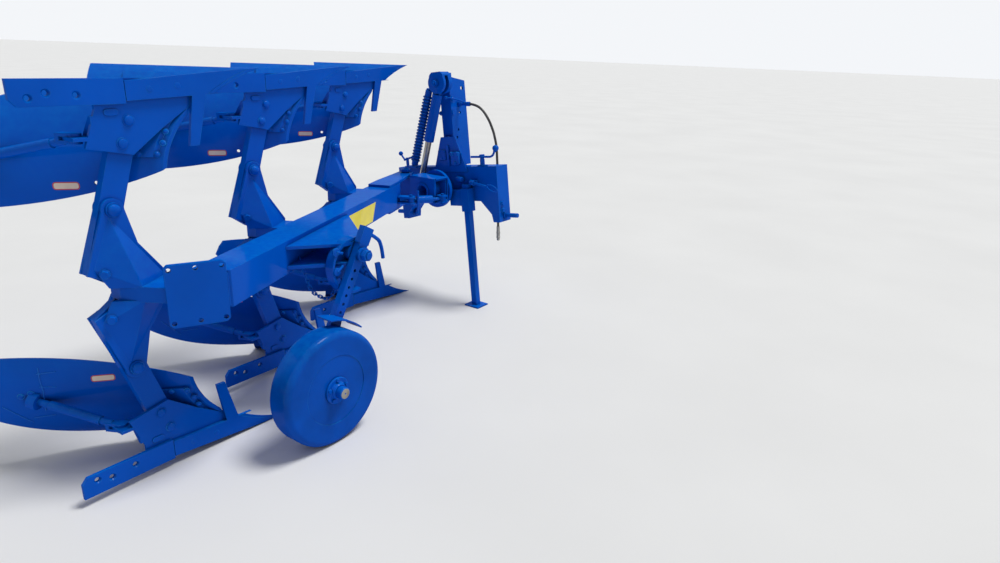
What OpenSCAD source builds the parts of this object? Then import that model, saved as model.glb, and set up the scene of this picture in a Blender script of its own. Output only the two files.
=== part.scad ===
// Three-furrow mounted reversible plough, parked on its lower bodies and stand.
// X is the direction of travel, Y is left and Z is up, all in millimetres.

/* [Bodies] */
// Height between the lower and the upper share tips
tip_height = 1500; // [1440:10:1560]
// Distance along the travel from one body to the next
body_spacing = 800; // [780:5:860]
// Width of one furrow
furrow_w = 350; // [330:5:370]
// Angle of the share edge to the direction of travel
share_angle = 39; // [36:1:42]
// Radius of the moldboard's cylindrical surface
mold_r = 420; // [400:5:440]
// Pitch of the surface where it leaves the share edge
mold_pitch = 25; // [22:1:28]
// Thickness of the moldboard
mold_t = 10; // [8:1:10]
// Thickness of the share
share_t = 10; // [8:1:10]
// Height of the seam between share and moldboard
share_h = 88; // [80:1:96]
// Length of the share's cutting edge
share_len = 545; // [520:5:570]
// Distance from the share tip back to the moldboard's tail
mold_reach = 1066; // [1040:2:1090]
// Height of the moldboard's top edge at the tail
mold_top = 470; // [455:1:485]
// Thickness of the frog plate
frog_t = 12; // [10:1:14]
// Thickness of the landside bar
landside_t = 14; // [10:1:16]
// Radius of the stay rod
stay_r = 13; // [10:1:16]

/* [Legs and beam] */
// Width of a leg bar along the travel
leg_w = 82; // [74:1:88]
// Thickness of a leg bar
leg_t = 34; // [28:1:38]
// Thickness of the cheek plates that hold the legs
cheek_t = 12; // [10:1:14]
// Width of a console arm
arm_w = 150; // [130:2:154]
// Height of a console arm
arm_h = 56; // [50:1:60]
// Width of the beam
beam_w = 140; // [130:2:150]
// Height of the beam
beam_h = 140; // [130:2:150]
// Wall of the beam
beam_wall = 8; // [6:1:10]
// Width of the rear flange plate
flange_w = 200; // [194:1:204]
// Height of the rear flange plate
flange_h = 230; // [224:2:240]
// Thickness of the rear flange plate
flange_t = 18; // [14:1:20]
// Diameter of a flange hole
flange_hole = 17; // [14:1:20]
// Thickness of the hinge plates at the front of the beam
hinge_t = 15; // [12:1:18]
// Radius of the beam's hinge pin
hinge_pin_r = 25; // [20:1:28]

/* [Headstock] */
// Roll of the parked headstock, right side up
head_roll = 7.5; // [0:0.5:10]
// Half of the length of the cross box
box_half = 412; // [405:1:420]
// Depth of the cross box along the travel
box_d = 120; // [110:2:130]
// Height of the box top over the turnover axis
box_up = 128; // [120:2:136]
// Depth of the box bottom under the turnover axis
box_down = 92; // [88:2:100]
// Wall of the cross box
box_wall = 10; // [8:1:12]
// Radius of the turnover shaft
shaft_r = 55; // [50:1:60]
// Depth of the lower link pins under the turnover axis
link_drop = 187; // [180:1:195]
// Diameter of a lower link pin
link_pin_d = 28; // [22:1:36]
// Length of a lower link pin outside its plate
link_pin_len = 98; // [90:1:110]
// Height of the tower over the turnover axis
tower_h = 690; // [660:5:700]
// Distance between the outer faces of the tower plates
tower_w = 82; // [78:1:90]
// Thickness of a tower plate
tower_t = 12; // [10:1:14]
// Diameter of the top link holes
top_link_d = 26; // [19:0.5:32]
// Radius of the crank on the turnover shaft
crank_r = 183; // [178:1:186]
// Outer radius of the cylinder barrel
barrel_r = 32; // [30:1:34]
// Length of the barrel from its top pin
barrel_len = 375; // [365:1:385]
// Radius of the cylinder rod
rod_r = 20; // [16:1:22]

/* [Stand and wheel] */
// Side of the parking stand's square tube
stand_w = 40; // [35:1:45]
// Radius of the depth wheel
wheel_r = 250; // [240:1:255]
// Width of the depth wheel
wheel_w = 120; // [110:2:124]
// Distance of the wheel arm's pivot ahead of the rear share tip
arm_pivot_x = 278; // [272:1:284]
// Radius of the wheel arm's pivot pin
arm_pin_r = 15; // [14:0.5:18]

/* [Hidden] */

blue = "#0a49c4";
steel = "#b9bcc0";
rubber = "#26221f";
cut = 1;
seat = 0.3;
fit = 0.05;
far = 2000;

mid_z = tip_height / 2;
beam_angle = atan2(furrow_w, body_spacing);

// Moldboard surface: a cylinder whose axis lies level, along the share edge.
surf_n = mold_r * sin(mold_pitch);
surf_z = mold_r * cos(mold_pitch);
edge_x = -cos(share_angle);
edge_y = sin(share_angle);
norm_x = sin(share_angle);
norm_y = cos(share_angle);
surf_start = 200;
surf_len = mold_reach / cos(share_angle) + surf_start;
back_r = mold_r + max(mold_t, share_t) + seat;
function surf_n_at(z, r) = surf_n - sqrt(r * r - (surf_z - z) * (surf_z - z));
function surf_at(e, z, r) = [e * edge_x + surf_n_at(z, r) * norm_x,
  e * edge_y + surf_n_at(z, r) * norm_y, z];
function side_x(z, r) = surf_n_at(z, r) / norm_x;

// Moldboard outline, seen square to the landside.
top_r = 1106;
top_c = [-913, mold_top + 4 - top_r];
bottom_r = 689;
bottom_c = [-485, 759];
shin_low = [-274, 139];
shin_top = [-371, 332];
tail = [[-mold_reach + 42, mold_top - 2], [-mold_reach + 20, 436], [-mold_reach, 388]];
share_out = -23;
backing_t = 12;
// Distance along the edge, height and radius of each open hole.
mold_holes = [[524, 388, 7]];
backing_top = 300;

// Landside bar, its front piece and the knife, all in one plane.
bar = [[-835, 34], [-835, 92], [-815, 115], [-500, 115], [-500, 34]];
bar_holes = [[-784, 90], [-734, 76], [-649, 84]];
bar_front = [[-498, 42], [-498, 106], [-150, 89], [-20, 3], [-60, 3]];
knife = [[-295, 270], [-258, 269], [-206, 66], [-262, 70], [-268, 100]];
frog_plate = [[-642, 252], [-492, 284], [-378, 199], [-200, 85], [-240, 34], [-600, 34], [-597, 130]];
tab_z = 216;
tab_t = 12;
tab_out = 78;
stay_pin = [-648, 46];
stay_e = 838;
stay_z = 297;

// Legs, in the plane of the landside, from the frog to the console.
leg_foot = [-505, 200];
leg_lean = 17.7;
leg_low_z = 135;
leg_pivot_z = mid_z - 292;
leg_end = [mid_z - 82, mid_z - 32];
leg_y = frog_t + seat;
leg_half = leg_w / 2 / cos(leg_lean);
function leg_x(z) = leg_foot[0] - (z - leg_foot[1]) * tan(leg_lean);
cheek_out = leg_y + leg_t + seat;
pivot_lobe_r = 38;
cheek_rear = [-700, mid_z - 82];
cheek_notch = [-605, mid_z - 36];
cheek_front = [[-432, mid_z - 40], [-520, mid_z - 165]];
gusset_top = [-606, mid_z - 270];
gusset_rear = [-676, mid_z - 101];
gusset_corner = [-566, -77];
arm_sweep = -57;
arm_start = [-543, 30];

// Beam in its own frame: x along the line of the bodies, y to the legs' side.
beam_side = -20;
beam_rear = -490;
beam_front = 1400;
face_y = beam_side - beam_w / 2;
leg_face_y = beam_side + beam_w / 2;
flange_turn = -25 - beam_angle;
flange_side = -15;
flange_corner = 12;
flange_hole_x = 85;
flange_hole_z = 97.5;

// Hinge of the beam and the head that swings on it.
hinge_x = 1563;
hinge_y = 661;
hinge_r = 50;
hinge_gap = 70;
swing_rear = 1490;
swing_front = 1615;
swing_y = [352, 555];
swing_z = [mid_z - 60, mid_z + 90];
swing_wall = 16;
spindle_r = 24;
spindle_a = [1329, 400, mid_z - 23];
spindle_b = [1533, 322, mid_z - 33];

// Headstock, in its own frame about the turnover axis.
head_x = 1790;
head_y = 450;
box_rear = -box_d / 2;
disc_r = 120;
disc_x = -172;
crank_x = -150;
crank_t = 20;
crank_end = 35;
shaft_wall = 15;
rod_plane = -106;
eye_t = 30;
eye_r = 34;
cyl_pin_r = 15;
cyl_top = [-57, 650];
crank_pin = [crank_r * cos(head_roll), crank_r * sin(head_roll)];
cyl_len = norm(cyl_top - crank_pin);
cyl_lean = atan2(crank_pin[0] - cyl_top[0], cyl_top[1] - crank_pin[1]);
tower_y = -21;
tower_rear = -20;
tower_front = 140;
tower_holes = [[106, 617, top_link_d / 2], [67, 465, 9], [38, 357, 9], [20, 310, 9]];
block_y = [-128, 8];
lug_low = link_drop + 38;
spring_foot = [rod_plane, 208, 180];
lever_off = 66;
barrel_top = 70;

fitting_gap = [0, 1.8, 0.2];

stand_y = -195;
stand_x = -95;
stand_wall = 4;
stand_fit = 0.5;
foot_t = 8;
foot_len = 110;
foot_w = 110;
clamp_wall = 9.5;
clamp_top = -6;
clamp_h = 146;

// Depth wheel and its arm.
wheel_x = 4;
wheel_side = -270;
arm_gap = 6;
arm_bar_t = 12;
arm_out = wheel_side + arm_gap;
channel_w = 48;
channel_d = 32;
channel_t = 7;
channel_end = [114, mid_z - 303];
arm_head = [335, mid_z + 105];
strap_r = wheel_r + 30;
strap_t = 6;
strap_w = 74;
strap_from = [46, 84];
console_side = arm_out + channel_d + arm_gap;
sector_r = 126;
sector_drop = 60;
sector_w = 45;
sector_t = 12;
wheel_axle_r = 20;

// Hose route in the frame of the headstock: out of the fitting, over the box and down.
hose_d = 16;
hose_sides = 10;
HOSE_ROUTE = [[60, -158, 512], [60, -180, 507], [60, -202, 500], [60, -224, 489], [60, -243, 475],
  [60, -260, 458], [61, -275, 436], [63, -289, 411], [66, -300, 384], [69, -309, 355],
  [73, -316, 325], [76, -320, 295], [79, -323, 265], [81, -324, 235], [82, -324, 205], [83, -322, 170],
  [84, -320, 135], [85, -317, 100], [86, -314, 62], [86, -311, 22], [86, -308, -20], [86, -305, -62],
  [86, -302, -105], [86, -299, -148], [86, -296, -190], [86, -293, -232], [86, -290, -274], [86, -287, -314]];

// Shift that puts the origin under the middle of the whole plough.
origin_x = 432;
origin_y = 408;

module place() {
  translate([-origin_x, -origin_y, 0]) children();
}

module at_body(i) {
  translate([i * body_spacing, i * furrow_w, 0]) children();
}

module upper() {
  translate([0, 0, tip_height]) mirror([0, 0, 1]) children();
}

module both() {
  children();
  upper() children();
}

module head() {
  translate([head_x, head_y, mid_z]) rotate([-head_roll, 0, 0]) children();
}

module beam_axis() {
  rotate([0, 0, beam_angle]) children();
}

// Outline in X and Z, as a plate from y0 to y1.
module plate_xz(y0, y1) {
  translate([0, y1, 0]) rotate([90, 0, 0]) linear_extrude(y1 - y0) children();
}

// Outline in Y and Z, as a plate from x0 to x1.
module plate_yz(x0, x1) {
  translate([x0, 0, 0]) rotate([90, 0, 90]) linear_extrude(x1 - x0) children();
}

module rod_between(a, b, r) {
  d = b - a;
  translate(a) rotate([0, acos(d[2] / norm(d)), atan2(d[1], d[0])]) cylinder(h = norm(d), r = r, $fn = 48);
}

module pin_y(x, y0, y1, z, r) {
  translate([x, y1, z]) rotate([90, 0, 0]) cylinder(h = y1 - y0, r = r, $fn = 64);
}

module pin_x(x0, x1, y, z, r) {
  translate([x0, y, z]) rotate([0, 90, 0]) cylinder(h = x1 - x0, r = r, $fn = 64);
}

module block(lo, hi) {
  translate(lo) cube(hi - lo);
}

// Solid cylinder about the axis of the moldboard's surface.
module surface_core(r) {
  translate([surf_n * norm_x, surf_n * norm_y, surf_z]) rotate([0, 0, 180 - share_angle])
    rotate([0, 90, 0]) translate([0, 0, -surf_start])
      cylinder(h = surf_len + surf_start, r = r, $fn = 180);
}

module surface_shell(r_in, r_out) {
  difference() {
    surface_core(r_out);
    surface_core(r_in);
  }
}

// Block along the share edge: e0 to e1 along it, from n0 to n1 across it, z0 to z1.
module edge_block(e0, e1, n0, n1, z0, z1) {
  rotate([0, 0, 180 - share_angle]) block([e0, -n1, z0], [e1, -n0, z1]);
}

module moldboard_outline() {
  intersection() {
    translate(top_c) circle(r = top_r, $fn = 360);
    union() {
      translate(bottom_c) circle(r = bottom_r, $fn = 360);
      translate([bottom_c[0], bottom_c[1] - bottom_r]) square([600, 500]);
    }
    polygon(concat(tail, [[-mold_reach, 0], [0, 0], [0, 88], [side_x(88, mold_r), 88], shin_low,
      shin_top, [shin_top[0], 600], [tail[0][0], 600]]));
  }
}

module moldboard() {
  color(blue) difference() {
    intersection() {
      surface_shell(mold_r, mold_r + mold_t);
      plate_xz(0, 620) moldboard_outline();
      union() {
        edge_block(-200, 1280, -400, 60, share_h + seat, 500);
        edge_block(share_len + seat, 1280, -400, 60, 40, share_h + 2);
      }
    }
    for (h = mold_holes) translate([h[0] * edge_x, h[0] * edge_y, h[1]]) rotate([0, 0, 90 - share_angle])
      translate([-300, 0, 0]) rotate([0, 90, 0]) cylinder(h = 600, r = h[2], $fn = 32);
  }
}

module share() {
  color(blue) intersection() {
    surface_shell(mold_r, mold_r + share_t);
    edge_block(share_out, share_len, -200, 20, 0, share_h);
    block([-800, -landside_t, 0], [100, 620, 200]);
  }
}

module frog() {
  color(blue) difference() {
    union() {
      plate_xz(0, frog_t) polygon(frog_plate);
      block([stay_pin[0] - 26, 0, tab_z], [-600, tab_out, tab_z + tab_t]);
      plate_yz(-614, -602) polygon([[0, 150], [frog_t, 150], [tab_out - 8, tab_z + 1], [0, tab_z + 1]]);
    }
    surface_core(back_r);
  }
  color(blue) intersection() {
    surface_shell(back_r, back_r + backing_t);
    union() {
      edge_block(50, 430, -320, 0, 20, 150);
      block([-480, 0, 140], [-240, 110, backing_top]);
    }
    block([-700, frog_t - cut, 0], [0, 400, 320]);
  }
  landside();
}

module landside() {
  color(blue) difference() {
    union() {
      plate_xz(-landside_t, -seat) polygon(bar);
      plate_xz(-landside_t, -seat) polygon(bar_front);
      plate_xz(-landside_t, -seat) polygon(knife);
    }
    for (h = bar_holes) translate([h[0], -landside_t, h[1]]) rotate([-90, 0, 0]) {
      translate([0, 0, -cut]) cylinder(h = landside_t + 2 * cut, r = 8.5, $fn = 48);
      translate([0, 0, -cut]) cylinder(h = 6 + cut, r1 = 14, r2 = 8.5, $fn = 48);
    }
    intersection() {
      surface_core(back_r);
      block([-far, -far, -cut], [far, far, share_h + seat]);
    }
  }
}

// Leg: a raked flat bar from the frog up to the console arm.
module legs() {
  color(blue) both() plate_xz(leg_y, leg_y + leg_t)
    polygon([[leg_x(leg_low_z) + leg_half, leg_low_z], [leg_x(leg_low_z) - leg_half, leg_low_z],
      [leg_x(leg_end[0]) - leg_half, leg_end[0]], [leg_x(leg_end[1]) + leg_half, leg_end[1]]]);
}

// Half of a cheek plate: pivot lobe, notch at the leg's end and the long front slope.
module cheek_outline() {
  px = leg_x(leg_pivot_z);
  translate([px, leg_pivot_z]) circle(r = pivot_lobe_r, $fn = 64);
  polygon([[px - pivot_lobe_r, leg_pivot_z + 3], cheek_rear, cheek_notch, [cheek_notch[0], mid_z + cut],
    [cheek_front[0][0], mid_z + cut], cheek_front[0], cheek_front[1], [px + pivot_lobe_r, leg_pivot_z + 3]]);
}

module cheek(y0) {
  plate_xz(y0, y0 + cheek_t) {
    cheek_outline();
    translate([0, tip_height]) mirror([0, 1]) cheek_outline();
  }
}

module gusset() {
  low = mid_z - arm_h / 2;
  // Corners of the boxed gusset: x, y and z, each a little inside the plate or the arm.
  corners = [[gusset_top[0], 1, gusset_top[1]], [gusset_rear[0], 1, gusset_rear[1]], [-636, 1, low + 1],
    [gusset_corner[0] + 5, gusset_corner[1] + 5, low + 1], [cheek_front[0][0] - 7, 1, low + 1]];
  hull() for (c = corners) translate(c) cube(3);
}

module console() {
  color(blue) {
    cheek(0);
    cheek(cheek_out);
    both() gusset();
    difference() {
      translate([arm_start[0], arm_start[1], mid_z - arm_h / 2]) rotate([0, 0, arm_sweep])
        block([-150, -arm_w / 2, 0], [420, arm_w / 2, arm_h]);
      block([-far, cheek_out + cheek_t, 0], [far, far, tip_height]);
      block([-far, -far, 0], [cheek_notch[0] - 3, far, tip_height]);
      beam_axis() block([-far, -far, 0], [far, leg_face_y + seat, tip_height]);
    }
  }
}

module console_rear() {
  difference() {
    console();
    flange_frame() block([-flange_w / 2 - seat, -far, -flange_h / 2 - seat],
      [flange_w / 2 + seat, flange_t + seat, flange_h / 2 + seat]);
  }
}

// Stay from the frog's tab to the back of the moldboard.
module stay() {
  a = [stay_pin[0], stay_pin[1], tab_z + tab_t / 2];
  b = surf_at(stay_e, stay_z, mold_r + mold_t + 2);
  d = (b - a) / norm(b - a);
  color(blue) difference() {
    union() {
      rod_between(a + 40 * d, b, stay_r);
      rod_between(a + 84 * d, b - 56 * d, stay_r + 4);
      translate([a[0], a[1], tab_z - 11]) cylinder(h = tab_t + 22, r = 20, $fn = 48);
      translate([a[0], a[1], tab_z - 11]) rotate([0, 0, atan2(d[1], d[0])])
        block([0, -16, 0], [58, 16, tab_t + 22]);
      rod_between(b - 12 * d, b + 20 * d, 32);
    }
    surface_core(mold_r + mold_t + seat);
    block([stay_pin[0] - 40, -20, tab_z - seat], [-600 + seat, tab_out + seat, tab_z + tab_t + seat]);
  }
}

module stays() {
  both() stay();
}

// Frame of the rear flange: its outer face is the plane y = 0, looking to -Y.
module flange_frame() {
  beam_axis() translate([beam_rear, flange_side, mid_z]) rotate([0, 0, flange_turn]) children();
}

module main_beam() {
  low = mid_z - beam_h / 2;
  color(blue) difference() {
    beam_axis() difference() {
      block([beam_rear - 200, face_y, low], [beam_front, leg_face_y, low + beam_h]);
      block([beam_rear - 201, face_y + beam_wall, low + beam_wall],
        [beam_front - beam_wall, leg_face_y - beam_wall, low + beam_h - beam_wall]);
    }
    flange_frame() block([-600, -800, -400], [600, flange_t, 400]);
  }
}

module rear_flange() {
  c = flange_corner;
  x = flange_w / 2;
  z = flange_h / 2;
  color(blue) flange_frame() difference() {
    plate_xz(0, flange_t) polygon([[-x, c - z], [c - x, -z], [x - c, -z], [x, c - z], [x, z - c], [x - c, z],
      [c - x, z], [-x, z - c]]);
    for (hx = [-1, 0, 1], hz = [-1, 1])
      pin_y(hx * flange_hole_x, -cut, flange_t + cut, hz * flange_hole_z, flange_hole / 2);
  }
}

// Fork at the front of the beam, round the hinge pin, with the lugs of the width spindle.
module hinge_head() {
  color(blue) {
    for (z = [mid_z + hinge_gap + seat, mid_z - hinge_gap - seat - hinge_t])
      difference() {
        union() {
          translate([hinge_x, hinge_y, z]) cylinder(h = hinge_t, r = hinge_r, $fn = 96);
          beam_axis() translate([0, 0, z]) linear_extrude(hinge_t)
            polygon([[1230, face_y + 4], [beam_front - 20, face_y + 4], [1688, -68], [1694, 28],
              [beam_front - 20, leg_face_y - 4], [1230, leg_face_y - 4]]);
        }
        translate([hinge_x, hinge_y, z - cut])
          cylinder(h = hinge_t + 2 * cut, r = hinge_pin_r + seat, $fn = 96);
      }
    for (z = [spindle_a[2] - 12 - seat - 10, spindle_a[2] + 12 + seat]) difference() {
      translate([0, 0, z]) linear_extrude(10) hull() {
        translate([spindle_a[0], spindle_a[1]]) circle(r = 28, $fn = 48);
        beam_axis() translate([1345, face_y - 2 - seat]) square([50, 2]);
      }
      translate([spindle_a[0], spindle_a[1], z - cut]) cylinder(h = 12, r = 10.3, $fn = 48);
    }
  }
}

module hinge_pin() {
  reach = hinge_gap + hinge_t + 8;
  color(blue) translate([hinge_x, hinge_y, mid_z]) {
    translate([0, 0, -reach]) cylinder(h = 2 * reach, r = hinge_pin_r, $fn = 96);
    for (s = [-1, 1])
      translate([0, 0, s * (reach + 8) - 8]) cylinder(h = 16, r = 36, $fn = 6);
  }
}

// Swinging head: an open box behind the turnover shaft and a knuckle on the hinge pin.
module swing_head() {
  low = mid_z - hinge_gap + 3;
  high = mid_z + hinge_gap - 3;
  color(blue) difference() {
    union() {
      block([swing_rear, swing_y[0], swing_z[0]], [swing_front, swing_y[1], swing_z[1]]);
      block([swing_rear + 26, swing_y[1] - cut, low], [swing_front - 6, hinge_y, high]);
      translate([hinge_x, hinge_y, low]) cylinder(h = high - low, r = hinge_r - 2, $fn = 96);
      for (z = [spindle_b[2] - 12 - seat - 10, spindle_b[2] + 12 + seat])
        block([spindle_b[0] - 26, spindle_b[1] - 24, z], [spindle_b[0] + 26, swing_y[0] + cut, z + 10]);
    }
    translate([hinge_x, hinge_y, low - cut])
      cylinder(h = high - low + 2 * cut, r = hinge_pin_r + fit, $fn = 96);
    block([swing_rear + swing_wall, swing_y[0] - cut, swing_z[0] + swing_wall],
      [swing_front - swing_wall, swing_y[1] - swing_wall, swing_z[1] - swing_wall]);
    pin_x(swing_rear - cut, swing_front + cut, head_y, mid_z, shaft_r + seat);
    translate([spindle_b[0], spindle_b[1], spindle_b[2] - 40]) cylinder(h = 80, r = 10.3, $fn = 48);
  }
}

module turnover_shaft() {
  color(blue) translate([head_x, head_y, mid_z]) difference() {
    pin_x(swing_rear - head_x - 6, -box_rear + 26, 0, 0, shaft_r);
    pin_x(swing_rear - head_x - 7, -box_rear + 27, 0, 0, shaft_r - shaft_wall);
  }
  // Disc and crank, fixed on the shaft.
  color(blue) translate([head_x, head_y, mid_z]) difference() {
    union() {
      pin_x(disc_x, crank_x + cut, 0, 0, disc_r);
      plate_yz(crank_x, crank_x + crank_t) {
        circle(r = disc_r - 28, $fn = 96);
        polygon([[0, 32 - disc_r], [crank_r, -crank_end], [crank_r, crank_end], [0, disc_r - 32]]);
        translate([crank_r, 0]) circle(r = crank_end, $fn = 64);
      }
    }
    pin_x(disc_x - cut, crank_x + crank_t + cut, 0, 0, shaft_r + seat);
  }
  color(blue) translate([head_x, head_y, mid_z]) difference() {
    pin_x(-box_rear + 6, -box_rear + 24, 0, 0, 75);
    pin_x(-box_rear + 5, -box_rear + 25, 0, 0, shaft_r + seat);
  }
}

module width_spindle() {
  d = (spindle_b - spindle_a) / norm(spindle_b - spindle_a);
  color(blue) {
    rod_between(spindle_a, spindle_b, 10);
    rod_between(spindle_a + 38 * d, spindle_b - 76 * d, spindle_r);
    for (p = [spindle_a, spindle_b]) {
      translate(p - [0, 0, 12]) cylinder(h = 24, r = 22, $fn = 48);
      translate(p - [0, 0, 32]) cylinder(h = 64, r = 10, $fn = 48);
    }
    rod_between(spindle_a + 26 * d + [0, -26, -76], spindle_a + 26 * d + [0, -26, 60], 6);
    rod_between(spindle_a + 26 * d + [0, -28, 0], spindle_a + 40 * d, 8);
  }
}

// Console of the depth wheel: two level plates and the stop sector round the arm's pivot.
module wheel_console() {
  color(blue) {
    difference() {
      union() {
        for (z = [mid_z + 36, mid_z - 50])
          translate([0, 0, z]) linear_extrude(14)
            polygon([[30, -86], [225, console_side], [335, console_side], [600, 160], [300, 60]]);
        plate_xz(console_side, console_side + sector_w) difference() {
          translate([arm_pivot_x, mid_z - sector_drop]) circle(r = sector_r, $fn = 128);
          translate([arm_pivot_x, mid_z - sector_drop]) circle(r = sector_r - sector_t, $fn = 128);
          translate([arm_pivot_x + 30, mid_z - 300]) square([300, 600]);
        }
        plate_xz(console_side + sector_w - 12, console_side + sector_w) difference() {
          translate([arm_pivot_x, mid_z - sector_drop]) circle(r = sector_r - 2, $fn = 128);
          translate([arm_pivot_x + 30, mid_z - 300]) square([300, 600]);
          for (z = [0, -66])
            translate([arm_pivot_x - 62, mid_z - sector_drop + z]) circle(r = 17, $fn = 48);
        }
        pin_y(arm_pivot_x, console_side, console_side + 110, mid_z, 38);
        pin_y(arm_pivot_x, arm_out - 4, console_side + 110, mid_z, arm_pin_r);
      }
      beam_axis() block([-far, face_y - seat, 0], [far, far, tip_height]);
    }
    pin_y(arm_pivot_x, arm_out - 16, arm_out - 3, mid_z, arm_pin_r + 13);
  }
}

// Headstock

module cross_box() {
  color(blue) head() difference() {
    union() {
      difference() {
        block([box_rear, -box_half, -box_down], [-box_rear, box_half, box_up]);
        block([box_rear + box_wall, -box_half + box_wall, -box_down + box_wall],
          [-box_rear - box_wall, box_half - box_wall, box_up - box_wall]);
      }
      pin_x(box_rear, -box_rear, 0, 0, shaft_r + 20);
      for (s = [0, 1]) mirror([0, s, 0]) plate_yz(box_rear, -box_rear)
        polygon([[box_half, -box_down + 2], [box_half, -lug_low], [box_half - 50, -lug_low],
          [box_half - 58, -link_drop + 10], [box_half - 140, -box_down + 2]]);
    }
    pin_x(box_rear - cut, -box_rear + cut, 0, 0, shaft_r + fit);
    for (s = [0, 1]) mirror([0, s, 0])
      pin_y(0, box_half - 140, box_half + cut, -link_drop, link_pin_d / 2 + fit);
  }
}

module link_pins() {
  color(blue) head() for (s = [0, 1]) mirror([0, s, 0]) {
    pin_y(0, box_half - 86, box_half + link_pin_len, -link_drop, link_pin_d / 2);
    pin_y(0, box_half + seat, box_half + 10, -link_drop, link_pin_d / 2 + 9);
    pin_y(0, box_half - 86, box_half - 73, -link_drop, link_pin_d / 2 + 9);
  }
}

// Rounded head of the tower's clevis, across the travel.
module tower_head() {
  translate(cyl_top) circle(r = 64, $fn = 96);
  polygon([[block_y[0] + 7, 650], [block_y[0] + 16, 700], [block_y[0] + 34, 716], [block_y[1] - 34, 716],
    [block_y[1] - 16, 700], [block_y[1] - 1, 650]]);
}

module tower() {
  base = box_up + seat;
  low = tower_y - tower_w / 2;
  high = tower_y + tower_w / 2;
  color(blue) head() difference() {
    union() {
      for (y = [low, high - tower_t]) plate_xz(y, y + tower_t)
        polygon([[tower_rear, base], [tower_rear, tower_h], [tower_front, tower_h - 26],
          [tower_front, base]]);
      block([tower_rear, low + cut, 330], [tower_rear + tower_t, high - cut, 600]);
      block([tower_rear + 20, low + cut, base], [tower_front - 40, high - cut, base + 14]);
      block([-66, low, 612], [10, high, 712]);
      difference() {
        plate_yz(-142, -60) tower_head();
        block([rod_plane - eye_t / 2, block_y[0] - cut, 580], [rod_plane + eye_t / 2, block_y[1] + cut, 692]);
      }
      pin_x(-146, -61, cyl_top[0], cyl_top[1], cyl_pin_r);
    }
    for (h = tower_holes) pin_y(h[0], low - cut, high + cut, h[1], h[2]);
  }
}

module bearing_bracket() {
  base = box_up + seat;
  color(blue) head() {
    plate_yz(box_rear - 8, box_rear - seat)
      polygon([[-190, 96], [86, 96], [6, 318], [-110, 318]]);
    for (y = [-150, -70, 46]) plate_xz(y - 4, y + 4)
      polygon([[box_rear - cut, base], [box_rear - cut, 210], [tower_rear - seat, base]]);
  }
}

module latch_spring() {
  coils = 21;
  top = [rod_plane, tower_y + 72, 571];
  low = spring_foot;
  step = (top - low) / coils;
  tilt = atan2(low[1] - top[1], top[2] - low[2]);
  color(blue) head() {
    for (i = [0:coils]) translate(low + i * step) rotate([tilt, 0, 0])
      rotate_extrude($fn = 32) translate([25.4, 0]) circle(r = 4.6, $fn = 12);
    rod_between(low - 1.6 * step, top + 2.2 * step, 21.6);
    translate(top + 2.2 * step) rotate([tilt, 0, 0]) block([-6, -6, -4], [100, 18, 10]);
    block([rod_plane + 88, tower_y + tower_w / 2 + seat, 604], [rod_plane + 98, tower_y + 71, 634]);
    block([rod_plane - 14, low[1] - 8, box_up + seat], [rod_plane + 90, low[1] + 54, box_up + 12]);
    block([rod_plane - 6, low[1] + 6, box_up + 10], [rod_plane + 6, low[1] + 32, 160]);
  }
}

module latch_lever() {
  y = spring_foot[1] + lever_off;
  elbow = [-92, y + 44, box_up + 54];
  color(blue) head() {
    block([-96, y, box_up + seat], [-10, y + 46, box_up + 12]);
    block([-96, y + 14, box_up + 11], [-84, y + 30, box_up + 68]);
    rod_between([-92, y - 34, box_up + 72], elbow, 6.5);
    translate(elbow) sphere(r = 8, $fn = 32);
    rod_between(elbow, elbow + [0, 26, 34], 6);
    translate(elbow + [0, 30, 42]) sphere(r = 15, $fn = 32);
  }
}

module stand_clamp() {
  half = stand_w / 2;
  low = [stand_x - half - clamp_wall, stand_y - half - clamp_wall, clamp_top - clamp_h];
  color(blue) head() difference() {
    union() {
      block(low, [box_rear - seat, stand_y + half + clamp_wall, clamp_top]);
      block([stand_x - 24, stand_y + half, clamp_top - 110], [box_rear - seat, -70, clamp_top - 10]);
    }
    block([stand_x - half - stand_fit, stand_y - half - stand_fit, low[2] - cut],
      [stand_x + half + stand_fit, stand_y + half + stand_fit, clamp_top + cut]);
  }
}

module parking_stand() {
  c = cos(head_roll);
  s = sin(head_roll);
  half = stand_w / 2;
  foot_z = -(mid_z - stand_y * s) / c;
  foot_y = head_y + stand_y * c + foot_z * s;
  color(blue) {
    difference() {
      head() difference() {
        block([stand_x - half, stand_y - half, foot_z - 40],
          [stand_x + half, stand_y + half, clamp_top + 26]);
        block([stand_x - half + stand_wall, stand_y - half + stand_wall, foot_z - 41],
          [stand_x + half - stand_wall, stand_y + half - stand_wall, clamp_top + 27]);
      }
      block([0, -far, -200], [3000, far, foot_t - 1]);
    }
    translate([head_x + stand_x - foot_len / 2, foot_y - foot_w / 2, 0]) cube([foot_len, foot_w, foot_t]);
  }
}

module hose_fitting() {
  p = HOSE_ROUTE[0];
  low = tower_y - tower_w / 2 - seat;
  color(blue) head() {
    pin_y(p[0], low - 22, low, p[2] + 5, 16);
    rod_between([p[0], low - 12, p[2] + 5], p + fitting_gap, 9);
    rod_between(p + [0, 34, 2], p + [0, 5, 0.3], 14);
  }
}

function unit(a) = a / norm(a);
function tangent(p, i) = unit(p[min(i + 1, len(p) - 1)] - p[max(i - 1, 0)]);
function ring(c, t, r, n) = let (u = unit(cross(t, [1, 0, 0])), v = cross(t, u))
  [for (k = [0:n - 1]) c + r * (cos(360 * k / n) * u + sin(360 * k / n) * v)];

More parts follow.
